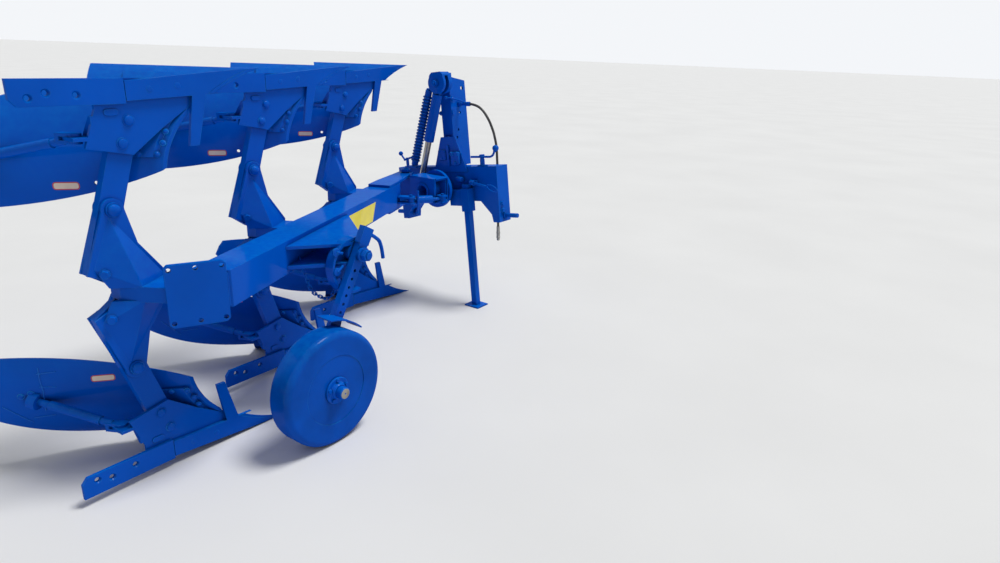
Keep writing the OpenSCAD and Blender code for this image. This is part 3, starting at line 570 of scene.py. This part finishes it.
def addNut(bm, at, way, size, spin=0.1, stud=0.6):
    # Washer, nut and the threaded end that stands out of it.
    base = addWasher(bm, at, way, size)
    height = base + size * fastener["nut"]
    addHex(bm, at, way, size * fastener["flats"], base, height, spin, True)
    top = base + size * (fastener["nut"] + stud)
    crest, root = size * 0.5, size * fastener["threadRoot"]
    step = fastener["threadStep"]
    profile = [(crest, base)]
    while height < top - step:
        profile += [(crest, height), (root, height + step * 0.4), (crest, height + step * 0.8)]
        height += step
    addLathe(bm, at, way, profile + [(size * fastener["threadEnd"], top)], 20)


def addDome(bm, at, way, radius, height, collar=0.0):
    # Forged round head, with a collar under it where one is given.
    profile = []
    if collar:
        profile += [(radius * 1.25, 0), (radius * 1.28, collar * 0.3), (radius * 1.22, collar)]
    upright = 0.3  # share of the height below the round
    profile += [(radius, collar), (radius, collar + height * upright)]
    for k in range(1, 7):
        a = math.pi / 2 * k / 7
        rise = upright + (1 - upright) * math.sin(a)
        profile.append((radius * math.cos(a), collar + height * rise))
    addLathe(bm, at, way, profile, 32)


def addTube(bm, points, radius, sides=14, swell=None):
    # Round bar along points in metres; radius in millimetres, scaled by swell(t) on the way.
    count = len(points)
    side = None
    rings = []
    for k in range(count):
        ahead = (points[min(k + 1, count - 1)] - points[max(k - 1, 0)]).normalized()
        if side is None:
            side = steadyAxis(ahead).cross(ahead)
        side = (side - ahead * side.dot(ahead)).normalized()
        other = ahead.cross(side)
        r = radius / 1000 * (swell(k / (count - 1)) if swell else 1.0)
        steps = [2 * math.pi * j / sides for j in range(sides)]
        across = [math.cos(a) * side + math.sin(a) * other for a in steps]
        rings.append([points[k] + r * out for out in across])
    addRings(bm, Matrix.Identity(4), rings)


def bendPoints(corners, reach, steps=6):
    # The corners of a bent bar, each rounded off over reach, in metres.
    points = [corners[0]]
    for before, corner, after in zip(corners, corners[1:], corners[2:]):
        back, onward = before - corner, after - corner
        start = corner + back.normalized() * min(reach, back.length * 0.49)
        end = corner + onward.normalized() * min(reach, onward.length * 0.49)
        for k in range(steps + 1):
            t = k / steps
            points.append(start * (1 - t) ** 2 + corner * 2 * t * (1 - t) + end * t * t)
    return points + [corners[-1]]


def addWeld(bm, points, size=5.0, pitch=6.0):
    # Weld bead along points in metres, laid in overlapping ripples.
    path = []
    for near, far in zip(points, points[1:]):
        steps = max(2, int((far - near).length * 1000 / (pitch / 3)))
        path += [near.lerp(far, k / steps) for k in range(steps)]
    path.append(points[-1])

    def ripple(t):
        return 0.86 + 0.16 * abs(math.sin(t * len(path) * math.pi / 3))

    addTube(bm, path, size, 8, ripple)


def addPlate(bm, place, outline, low, high, chamfer=1.0):
    # Flat plate from an outline in its own plane, its rims broken by a small chamfer.
    middle = sum((Vector(p) for p in outline), Vector((0, 0))) / len(outline)

    def shrunk(p):
        inward = middle - Vector(p)
        return Vector(p) + inward.normalized() * min(chamfer, inward.length / 2)

    inner = [shrunk(p) for p in outline]
    layers = ((inner, low), (outline, low + chamfer), (outline, high - chamfer), (inner, high))
    addRings(bm, place, [[(p[0], p[1], height) for p in rim] for rim, height in layers])


def roundedBox(width, height, corner, steps=5):
    points = []
    for cx, cy, start in ((1, 1, 0), (-1, 1, 90), (-1, -1, 180), (1, -1, 270)):
        for k in range(steps + 1):
            a = math.radians(start + 90 * k / steps)
            points.append((cx * (width / 2 - corner) + corner * math.cos(a),
                           cy * (height / 2 - corner) + corner * math.sin(a)))
    return points


def makePiece(name, bm, body, material, sharp=32):
    # Ends a mesh: smooth but for its sharp edges, in the scene and on its body.
    bmesh.ops.recalc_face_normals(bm, faces=bm.faces)
    mesh = bpy.data.meshes.new(name)
    bm.to_mesh(mesh)
    bm.free()
    mesh.materials.append(material)
    for face in mesh.polygons:
        face.use_smooth = True
    mesh.set_sharp_from_angle(angle=math.radians(sharp))
    piece = bpy.data.objects.new(name, mesh)
    bpy.context.scene.collection.objects.link(piece)
    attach(piece, body)
    return piece


# Hose
hoseLead = {
    "route": [
        (60, -158, 512), (60, -180, 507), (60, -202, 500), (60, -224, 489), (60, -243, 475),
        (60, -260, 458), (61, -275, 436), (63, -289, 411), (66, -300, 384), (69, -309, 355),
        (73, -316, 325), (76, -320, 295), (79, -323, 265), (81, -324, 235), (82, -324, 205),
        (83, -322, 170), (84, -320, 135), (85, -317, 100), (86, -314, 62), (86, -311, 22),
        (86, -308, -20), (86, -305, -62), (86, -302, -105), (86, -299, -148),
        (86, -296, -190), (86, -293, -232), (86, -290, -274), (86, -287, -314)],
    "diameter": 16,
}
# The coupler from the hose's end on, as radius and distance.
coupler = {
    "ferruleStart": [(9, -34), (11.4, -33)], "crimps": 6, "crimpStep": 5,
    "crimp": [(11.4, -31), (10.7, -29.6), (10.7, -28.4), (11.4, -27)],
    "ferruleEnd": [(11.4, 1), (9, 2)],
    "hex": {"across": 24, "low": 2, "high": 16, "spin": 0.2},
    "plug": [(10.2, 15), (11.8, 16), (11.8, 34), (13.6, 36), (13.6, 40), (11.8, 42), (11.8, 47),
             (9.6, 49), (9.6, 53), (11.2, 55), (11.2, 58), (6.4, 61.5)],
}


def makeCoupler(end, way, values):
    # Crimped ferrule, hexagon and the male half of a push-in coupling.
    bm = bmesh.new()
    ferrule = list(values["ferruleStart"])
    for k in range(values["crimps"]):
        ferrule += [(radius, at + k * values["crimpStep"]) for radius, at in values["crimp"]]
    addLathe(bm, end, way, ferrule + values["ferruleEnd"], 32)
    nut = values["hex"]
    addHex(bm, end, way, nut["across"], nut["low"], nut["high"], nut["spin"], True)
    addLathe(bm, end, way, values["plug"], 36)
    return makePiece("hoseCouplerPlug", bm, "headstock", zincMaterial)


def makeHose(values):
    points = [headSpot(*p) for p in values["route"]]
    curve = bpy.data.curves.new("pressureHose", "CURVE")
    curve.dimensions = "3D"
    curve.bevel_depth = values["diameter"] / 2000
    curve.bevel_resolution = 5
    curve.resolution_u = 5
    curve.use_fill_caps = True
    line = curve.splines.new("BEZIER")
    line.bezier_points.add(len(points) - 1)
    for knot, point in zip(line.bezier_points, points):
        knot.co = point
        knot.handle_left_type = knot.handle_right_type = "AUTO"
    curve.materials.append(rubberMaterial)
    hose = bpy.data.objects.new("pressureHose", curve)
    bpy.context.scene.collection.objects.link(hose)
    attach(hose, "headstock")
    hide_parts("hose")
    plug = makeCoupler(points[-1], points[-1] - points[-2], coupler)
    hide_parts("hose_coupler")


makeHose(hoseLead)
print("hose hung")


# Bolts of the plough bodies
bodyBolts = {
    "pivot": {"at": (-587.3, 458), "size": 24, "head": 0.86, "height": 17, "collar": 7},
    "shear": {"at": (-650.6, -15.1, 667.6), "size": 17, "way": (-0.54, -0.84, 0.0)},
    "shin": {"at": [(378, 288), (322, 290), (300, 252), (290, 214)], "proud": 12,
             "head": (8.5, 6, 1.5)},
    "tail": {"at": [(884, 321), (850, 330)], "proud": -0.3, "head": (10, 6, 1.5)},
    "frog": {"at": [(-495, 169), (-524, 243)], "size": 17, "head": 0.95, "height": 9,
             "collar": 2},
    "slot": {"at": (-548, 141), "size": 15, "width": 46, "height": 21, "corner": 10.4,
             "thick": 4},
    "bar": {"at": [(-418, 70), (-318, 60)], "profile": [(11.5, -1), (11.5, 0.3), (9.5, 0.9),
                                                        (4, 0.9)]},
    "legFar": 58.6,
    "frogFar": 46.3,
    "barFace": -14.0,
}


def makeBodyBolts(index, label, values):
    bm = bmesh.new()
    for upper in (False, True):
        near = bodyWay(0, -1, 0, upper)
        far = bodyWay(0, 1, 0, upper)

        def faceSpot(at, y):
            return bodySpot(index, at[0], y, at[1], upper)

        pivot = values["pivot"]
        addDome(bm, faceSpot(pivot["at"], 0), near, pivot["size"] * pivot["head"],
                pivot["height"], pivot["collar"])
        addNut(bm, faceSpot(pivot["at"], values["legFar"]), far, pivot["size"], 0.4, 0.35)
        shear = values["shear"]
        x, y, z = shear["at"]
        addBolt(bm, bodySpot(index, x, y, z, upper), bodyWay(*shear["way"], upper),
                shear["size"], 0.2)
        addNut(bm, faceSpot((x, z), values["legFar"]), far, shear["size"], 0.5, 0.4)
        for kind in ("shin", "tail"):
            rivet = values[kind]
            for along, height in rivet["at"]:
                at = moldSpot(index, along, height, upper, rivet["proud"])
                addDome(bm, at, moldWay(height, upper), *rivet["head"])
        frog = values["frog"]
        for at in frog["at"]:
            addDome(bm, faceSpot(at, 0), near, frog["size"] * frog["head"], frog["height"],
                    frog["collar"])
            addNut(bm, faceSpot(at, values["frogFar"]), far, frog["size"], 0.2, 0.5)
        slot = values["slot"]
        addPlate(bm, standUp(faceSpot(slot["at"], 0), near),
                 roundedBox(slot["width"], slot["height"], slot["corner"], 6), 0, slot["thick"])
        addNut(bm, faceSpot(slot["at"], values["frogFar"]), far, slot["size"], 0.2, 0.5)
        for at in values["bar"]["at"]:
            addLathe(bm, faceSpot(at, values["barFace"]), near, values["bar"]["profile"], 24)
    return makePiece("bodyBolts_" + label, bm, "frame", boltMaterial)


for bodyIndex, bodyLabel in enumerate(bodyLabels):
    makeBodyBolts(bodyIndex, bodyLabel, bodyBolts)
print("body bolts set")

# Stickers and decal
stickerSet = {
    "width": 82, "height": 27, "corner": 10, "rim": 3.5,
    "rimProud": 0.25, "fieldProud": 0.45, "under": 0.02,
    "upper": (617, 397), "lower": (605, 371),
}


def makeSticker(index, label, row, values):
    # Blank vinyl label that follows the moldboard's curve, cream inside a red rim.
    along, height = values[row]
    layers = (("Rim", redMaterial, 0, values["rimProud"]),
              ("Field", creamMaterial, values["rim"], values["fieldProud"]))
    for name, material, inset, proud in layers:
        bm = bmesh.new()
        outline = roundedBox(values["width"] - 2 * inset, values["height"] - 2 * inset,
                             values["corner"] - inset, 5)
        under, top = ([bm.verts.new(moldSpot(index, along - p[0], height + p[1],
                                             row == "upper", lift)) for p in outline]
                      for lift in (values["under"], proud))
        bm.faces.new(top)
        for k in range(len(top)):
            after = (k + 1) % len(top)
            bm.faces.new((under[k], under[after], top[after], top[k]))
        makePiece("sticker%s_%s_%s" % (name, label, row), bm, "frame", material)


for bodyIndex, bodyLabel in enumerate(bodyLabels):
    makeSticker(bodyIndex, bodyLabel, "upper", stickerSet)
    makeSticker(bodyIndex, bodyLabel, "lower", stickerSet)

beamDecal = {
    "corners": [(490, 686), (946, 686), (996, 786), (536, 786)],
    "side": -90.0, "thick": 0.7, "along": 16, "up": 4,
}


def makeDecal(values):
    # Blank yellow vinyl on the beam, in small faces so that it takes the light evenly.
    bm = bmesh.new()
    corners = [Vector(c) for c in values["corners"]]
    along, up = values["along"], values["up"]
    grid = []
    for v in range(up + 1):
        row = []
        for u in range(along + 1):
            low = corners[0].lerp(corners[1], u / along)
            high = corners[3].lerp(corners[2], u / along)
            at = low.lerp(high, v / up)
            row.append(bm.verts.new(beamSpot(at.x, values["side"] - values["thick"], at.y)))
        grid.append(row)
    for below, above in zip(grid, grid[1:]):
        for k in range(along):
            bm.faces.new((below[k], below[k + 1], above[k + 1], above[k]))
    skin = bmesh.ops.extrude_face_region(bm, geom=list(bm.faces))
    for part in skin["geom"]:
        if isinstance(part, bmesh.types.BMVert):
            part.co += beamWay(0, values["thick"] / 1000, 0)
    return makePiece("beamDecal", bm, "frame", decalMaterial)


makeDecal(beamDecal)
print("stickers laid")


# Weld seams
seams = {
    "tail": [[(812, 432), (812, 384), (808, 336), (814, 290), (820, 246)],
             [(756, 412), (820, 408)], [(764, 350), (818, 356)], [(792, 220), (866, 214)],
             [(952, 282), (914, 238), (876, 190)]],
    "tailBead": 2.4, "tailPitch": 9, "tailProud": 0.4,
    "flange": [(101.5, 15, -64), (101.5, 15, 64)],
    "rim": [(1496, 347, 838), (1604, 347, 838), (1613, 347, 828), (1613, 347, 700),
            (1604, 347, 692), (1496, 347, 692)],
    "frameBead": 5.5, "rimBend": 0.012,
    "sharp": 60,
}


def makeTailSeams(index, label, values):
    # Beads where the lower moldboard's tail piece is joined on.
    bm = bmesh.new()
    for path in values["tail"]:
        points = []
        for near, far in zip(path, path[1:]):
            for k in range(4):
                points.append([a + (b - a) * k / 4 for a, b in zip(near, far)])
        points.append(path[-1])
        bead = [moldSpot(index, along, height, False, values["tailProud"])
                for along, height in points]
        addWeld(bm, bead, values["tailBead"], values["tailPitch"])
    makePiece("tailSeams_" + label, bm, "frame", litSeamMaterial, sharp=values["sharp"])


def makeFrameSeams(values):
    # Bead beside the rear flange, and the cast rim round the swinging head.
    bm = bmesh.new()
    addWeld(bm, [flangeSpot(*p) for p in values["flange"]], values["frameBead"])
    rim = bendPoints([spot(*p) for p in values["rim"]], values["rimBend"])
    addTube(bm, rim, values["frameBead"], 12)
    makePiece("frameSeams", bm, "frame", blueMaterial, sharp=values["sharp"])


for bodyIndex, bodyLabel in enumerate(bodyLabels):
    makeTailSeams(bodyIndex, bodyLabel, seams)
makeFrameSeams(seams)
print("seams laid")


# Depth wheel's hub
wheelHub = {
    "x": 4, "z": 250, "face": -390,
    "flange": [(58, -1), (58, 4), (55, 6.5), (40, 6.5), (36, 9), (33, 18), (30, 21), (22, 21)],
    "bolts": 5, "boltSize": 10, "boltRing": 46, "boltFace": 5,
    "stubFoot": 12,
    "stub": [(24.5, 0), (25.5, 6), (25.5, 34), (22.5, 38)],
    "end": [(21.5, 36), (21.5, 38.6), (20.5, 39.2), (5, 39.2), (3.4, 37.6)],
}


def makeHub(values):
    # Flange with its bolts on the wheel, and the fixed axle's end that stands out of it.
    bm = bmesh.new()
    out = Vector((0, -1, 0))
    x, z, face = values["x"], values["z"], values["face"]
    addLathe(bm, spot(x, face, z), out, values["flange"], 48)
    for k in range(values["bolts"]):
        a = math.radians(90 + 360 / values["bolts"] * k)
        ring = values["boltRing"]
        at = spot(x + ring * math.cos(a), face - values["boltFace"], z + ring * math.sin(a))
        addBolt(bm, at, out, values["boltSize"], a)
    makePiece("hubFlange", bm, "depth_wheel", boltMaterial)
    stub = spot(x, face - values["stubFoot"], z)
    bm = bmesh.new()
    addLathe(bm, stub, out, values["stub"], 40)
    makePiece("axleStub", bm, "wheel_arm", boltMaterial)
    bm = bmesh.new()
    addLathe(bm, stub, out, values["end"], 40)
    makePiece("axleEnd", bm, "wheel_arm", bareMaterial)


makeHub(wheelHub)
print("hub dressed")


# Headstock fittings
bearing = {
    "face": -68.3,
    # Across from and to, up from and to, and depth; low where the cylinder swings past.
    "caps": [(-26, 36, 172, 238, 7), (-142, -76, 142, 224, 17), (-56, -40, 134, 266, 11)],
    "corner": 11, "chamfer": 2,
    "bolts": {"at": [(-132, 213), (-86, 213), (-109, 152)], "depth": 17, "size": 13},
    "rivets": {"at": [(-15, 227), (25, 227), (5, 182)], "depth": 7, "head": (8, 4)},
}


def makeBearing(values):
    # Bolted caps of the turnover bearing, on the trapezoid plate.
    bm = bmesh.new()
    out = headWay(-1, 0, 0)
    face = values["face"]
    across = Matrix((headWay(0, -1, 0), headWay(0, 0, 1), out)).transposed().to_4x4()
    for y0, y1, z0, z1, depth in values["caps"]:
        place = across.copy()
        place.translation = headSpot(face, (y0 + y1) / 2, (z0 + z1) / 2)
        outline = roundedBox(y1 - y0, z1 - z0, min(values["corner"], (y1 - y0) / 4))
        addPlate(bm, place @ Matrix.Scale(0.001, 4), outline, 0, depth, values["chamfer"])
    bolts, rivets = values["bolts"], values["rivets"]
    for y, z in bolts["at"]:
        addBolt(bm, headSpot(face - bolts["depth"], y, z), out, bolts["size"], y)
    for y, z in rivets["at"]:
        addDome(bm, headSpot(face - rivets["depth"], y, z), out, *rivets["head"])
    makePiece("bearingCaps", bm, "headstock", boltMaterial)


parkLever = {
    "foot": (-36, -291, 128.3),
    "plate": {"width": 58, "height": 40, "corner": 5, "thick": 8, "chamfer": 1.5},
    "post": [(15, 6), (15, 44), (13, 46), (13, 52), (17, 54), (17, 70), (15, 72)],
    "bar": [(-205, 186), (-372, 184), (-400, 236)], "barRadius": 7, "bend": 0.024,
    "knobRadius": 20, "neck": 9,
}


def makeParkLever(values):
    # Lever with a ball knob, in its post on top of the cross box.
    bm = bmesh.new()
    foot = headSpot(*values["foot"])
    up = headWay(0, 0, 1)
    plate = values["plate"]
    addPlate(bm, standUp(foot, up), roundedBox(plate["width"], plate["height"], plate["corner"]),
             0, plate["thick"], plate["chamfer"])
    addLathe(bm, foot, up, values["post"], 32)
    corners = [headSpot(values["foot"][0], y, z) for y, z in values["bar"]]
    addTube(bm, bendPoints(corners, values["bend"]), values["barRadius"], 16)
    makePiece("parkLever", bm, "headstock", boltMaterial)
    bm = bmesh.new()
    radius, neck = values["knobRadius"], values["neck"]
    ball = []
    for k in range(1, 16):
        a = math.pi * k / 16
        if radius * math.sin(a) > neck or math.cos(a) < 0:
            ball.append((radius * math.sin(a), -radius * math.cos(a)))
    profile = [(neck, -radius - 5), (neck, -radius * 0.93)] + ball
    addLathe(bm, corners[2], corners[2] - corners[1], profile, 40)
    makePiece("leverKnob", bm, "headstock", boltMaterial)


ringPin = {
    "from": (-80, -112, 56), "to": (-112, -368, 6),
    "second": 0.45,  # share of the way at which the second bush stands
    "bushes": (46, 34), "bushRadius": 16, "pinRadius": 8.5,
    "ring": 42, "ringWire": 3.6, "ringFlat": 0.55, "ringLift": (-0.35, 0.1, 0.93),
    "seats": [(-135, 50), (-245, 30)], "seatFace": -60.2,
    "seat": {"width": 36, "height": 28, "corner": 5, "thick": 20, "chamfer": 2},
}


def makeRingPin(values):
    # Lock pin of the stand, drawn back: a bush on either side of the tube, each on its seat,
    # and a ring to pull it by.
    bm = bmesh.new()
    start = headSpot(*values["from"])
    end = headSpot(*values["to"])
    way = (end - start).normalized()
    near = start.lerp(end, values["second"])
    wide = values["bushRadius"]
    for foot, length in zip((start, near), values["bushes"]):
        profile = [(wide - 1, 0), (wide, 2), (wide, length - 2), (wide - 1, length)]
        addLathe(bm, foot, way, profile, 28)
    addTube(bm, [near.lerp(end, k / 8) for k in range(9)], values["pinRadius"], 18)
    ring = values["ring"] / 1000
    centre = end + way * ring
    lift = headWay(*values["ringLift"]) * values["ringFlat"]
    loop = []
    for k in range(33):
        a = math.pi + 2 * math.pi * k / 32
        loop.append(centre + (way * math.cos(a) + lift * math.sin(a)) * ring)
    addTube(bm, loop, values["ringWire"], 10)
    back = headWay(-1, 0, 0)
    seat = values["seat"]
    outline = roundedBox(seat["width"], seat["height"], seat["corner"])
    for y, z in values["seats"]:
        place = standUp(headSpot(values["seatFace"], y, z), back)
        addPlate(bm, place, outline, 0, seat["thick"], seat["chamfer"])
    makePiece("ringPin", bm, "headstock", boltMaterial)


cylinderPipe = {
    "route": [(-58, -50, 560), (-40, -86, 556), (-8, -104, 546), (30, -112, 534),
              (52, -116, 524), (60, -120, 518)],
    "radius": 6, "bend": 0.012,
    "union": {"across": 19, "low": -7, "high": 11, "spin": 0.2, "setBack": 0.008},
}


def makePipe(values):
    # Steel pipe from the cylinder's side to the hose, with its union nuts.
    bm = bmesh.new()
    points = bendPoints([headSpot(*p) for p in values["route"]], values["bend"], 5)
    addTube(bm, points, values["radius"], 14)
    nut = values["union"]
    for at, before in ((points[-1], points[-2]), (points[0], points[1])):
        way = at - before
        addHex(bm, at - way.normalized() * nut["setBack"], way, nut["across"], nut["low"],
               nut["high"], nut["spin"], True)
    makePiece("cylinderPipe", bm, "headstock", boltMaterial)


headBolts = {
    "size": 16,
    "tower": [(-12, 467), (-6, 557)], "towerFaces": (-62.2, 20.2),
    "lug": [(-24, -106), (-24, -150)], "lugFace": 412.2,
    "topPin": {"at": (-146, -57, 650), "size": 20},
}


def makeHeadBolts(values):
    # Bolts through the tower's plates and the box's end lugs, and the cylinder's top pin.
    bm = bmesh.new()
    size = values["size"]
    right = headWay(0, -1, 0)
    left = headWay(0, 1, 0)
    rightFace, leftFace = values["towerFaces"]
    for x, z in values["tower"]:
        addBolt(bm, headSpot(x, rightFace, z), right, size, x)
        addNut(bm, headSpot(x, leftFace, z), left, size, z, 0.4)
    for x, z in values["lug"]:
        addBolt(bm, headSpot(x, -values["lugFace"], z), right, size, z)
        addBolt(bm, headSpot(x, values["lugFace"], z), left, size, z)
    pin = values["topPin"]
    addNut(bm, headSpot(*pin["at"]), headWay(-1, 0, 0), pin["size"], 0.2, 0.3)
    makePiece("headBolts", bm, "headstock", boltMaterial)


makeBearing(bearing)
makeParkLever(parkLever)
makeRingPin(ringPin)
makePipe(cylinderPipe)
makeHeadBolts(headBolts)
print("headstock fitted")


# Wheel console fittings
lockPinChain = {
    "route": [(127, -47, 722), (116, -70, 683), (126, -85, 649), (133, -88, 609),
              (146, -90, 573), (175, -92, 548), (208, -95, 524), (236, -98, 518),
              (256, -104, 540), (262, -112, 580), (258, -122, 622)],
    "bend": 0.018, "pitch": 0.019,
    "length": 27, "width": 13, "wire": 2.7,
    "lean": (0.9, -0.3, 0.3),  # keeps the links from standing square to the frame
}


def addLink(bm, centre, along, side, values):
    # One welded link: two straights and two round ends.
    points = []
    half = values["width"] / 2
    straight = (values["length"] - values["width"]) / 2
    for k in range(17):
        a = -math.pi / 2 + math.pi * k / 8
        shift = straight if k <= 8 else -straight
        bend = along * (shift + half * math.cos(a)) + side * half * math.sin(a)
        points.append(centre + bend / 1000)
    points.append(points[0].lerp(points[-1], 0.02))
    addTube(bm, points, values["wire"], 8)


def makeChain(values):
    bm = bmesh.new()
    path = bendPoints([spot(*p) for p in values["route"]], values["bend"], 5)
    travelled = [0.0]
    for near, far in zip(path, path[1:]):
        travelled.append(travelled[-1] + (far - near).length)
    for k in range(int(travelled[-1] / values["pitch"])):
        want = (k + 0.5) * values["pitch"]
        j = max(i for i, gone in enumerate(travelled[:-1]) if gone <= want)
        t = (want - travelled[j]) / max(travelled[j + 1] - travelled[j], 1e-6)
        along = (path[j + 1] - path[j]).normalized()
        side = along.cross(Vector(values["lean"])).normalized()
        if k % 2:
            side = along.cross(side)
        addLink(bm, path[j].lerp(path[j + 1], t), along, side, values)
    makePiece("lockPinChain", bm, "frame", boltMaterial)


lockPins = {
    "pins": [((174, -226, 772), (205, -226, 762)), ((175, -226, 685), (206, -226, 706))],
    "head": [(17, -6), (18, 1), (18, 4), (12, 6), (11, 6)],
    "handleRadius": 6, "handleProud": 0.004,
}
armLever = {
    "route": [(352, -232, 822), (380, -236, 806), (417, -238, 777), (428, -240, 740),
              (434, -242, 692)],
    "bend": 0.014, "radius": 8.5,
    "foot": (352, -226, 822), "footWay": (1, 0, -0.5), "collar": [(13, -14), (13, 4), (11, 6)],
}
armPinNut = {"at": (278, -280.2, 750), "size": 30}


def makeLockPins(values):
    # Pins of the wheel's stop sector, each with its small cross handle.
    bm = bmesh.new()
    out = Vector((0, -1, 0))
    lift = out * values["handleProud"]
    for start, end in values["pins"]:
        foot, tip = spot(*start), spot(*end)
        addLathe(bm, foot, out, values["head"], 28)
        handle = [foot + lift, foot.lerp(tip, 0.4) + lift, tip + lift]
        addTube(bm, handle, values["handleRadius"], 14)
    makePiece("lockPins", bm, "frame", boltMaterial)


def makeArmLever(values):
    # Bent hand lever at the head of the wheel's arm.
    bm = bmesh.new()
    points = bendPoints([spot(*p) for p in values["route"]], values["bend"], 5)
    addTube(bm, points, values["radius"], 16)
    addLathe(bm, spot(*values["foot"]), Vector(values["footWay"]), values["collar"], 24)
    makePiece("armLever", bm, "wheel_arm", boltMaterial)


def makeArmPinNut(values):
    bm = bmesh.new()
    addNut(bm, spot(*values["at"]), Vector((0, -1, 0)), values["size"], 0.3, 0.25)
    makePiece("armPinNut", bm, "frame", boltMaterial)


makeChain(lockPinChain)
makeLockPins(lockPins)
makeArmLever(armLever)
makeArmPinNut(armPinNut)
print("wheel console fitted")


# Stage and light
studio = {
    "floor": (0.80, 0.80, 0.79), "floorSize": 300, "floorRoughness": 0.85,
    "toneScale": 0.8, "toneDetail": 4, "toneRange": (0.3, 0.7, 0.97, 1.02),
    "sun": 2.25, "sunSpread": 20, "sunFrom": (0.28, -0.30, 0.92),
    "world": 0.33, "sky": (0.95, 0.97, 1.0), "skySeen": 0.95,
}


def makeStage(values):
    # Pale floor, hardly uneven in tone.
    material, tree, shader = newMaterial("paleFloor")
    patches = noiseNode(tree, values["toneScale"], values["toneDetail"])
    tone = greyOf(tree, rangeNode(tree, patches, *values["toneRange"]))
    color = mixNode(tree, 1.0, values["floor"], tone, "MULTIPLY")
    tree.links.new(color, shader.inputs["Base Color"])
    shader.inputs["Roughness"].default_value = values["floorRoughness"]
    bm = bmesh.new()
    bmesh.ops.create_grid(bm, x_segments=8, y_segments=8, size=values["floorSize"])
    mesh = bpy.data.meshes.new("floor")
    bm.to_mesh(mesh)
    bm.free()
    mesh.materials.append(material)
    floor = bpy.data.objects.new("floor", mesh)
    bpy.context.scene.collection.objects.link(floor)


def lightStudio(values):
    # One wide overhead light and an even world, which looks pale where it is seen or mirrored.
    sun = bpy.data.lights.new("overheadLight", "SUN")
    sun.energy = values["sun"]
    sun.angle = math.radians(values["sunSpread"])
    holder = bpy.data.objects.new("overheadLight", sun)
    aim = Vector(values["sunFrom"]).to_track_quat("Z", "Y")
    holder.matrix_world = aim.to_matrix().to_4x4()
    bpy.context.scene.collection.objects.link(holder)
    world = bpy.data.worlds.new("studioWorld")
    world.use_nodes = True
    tree = world.node_tree
    back = tree.nodes["Background"]
    back.inputs["Color"].default_value = (*values["sky"], 1)
    path = tree.nodes.new("ShaderNodeLightPath")
    rays = [path.outputs[label] for label in
            ("Is Camera Ray", "Is Glossy Ray", "Is Transmission Ray")]
    seen = mathNode(tree, "MAXIMUM", mathNode(tree, "MAXIMUM", rays[0], rays[1]), rays[2])
    strength = rangeNode(tree, seen, 0.0, 1.0, values["world"], values["skySeen"])
    tree.links.new(strength, back.inputs["Strength"])
    bpy.context.scene.world = world
    bpy.context.scene.view_settings.view_transform = "Standard"


makeStage(studio)
lightStudio(studio)
print("studio lit")
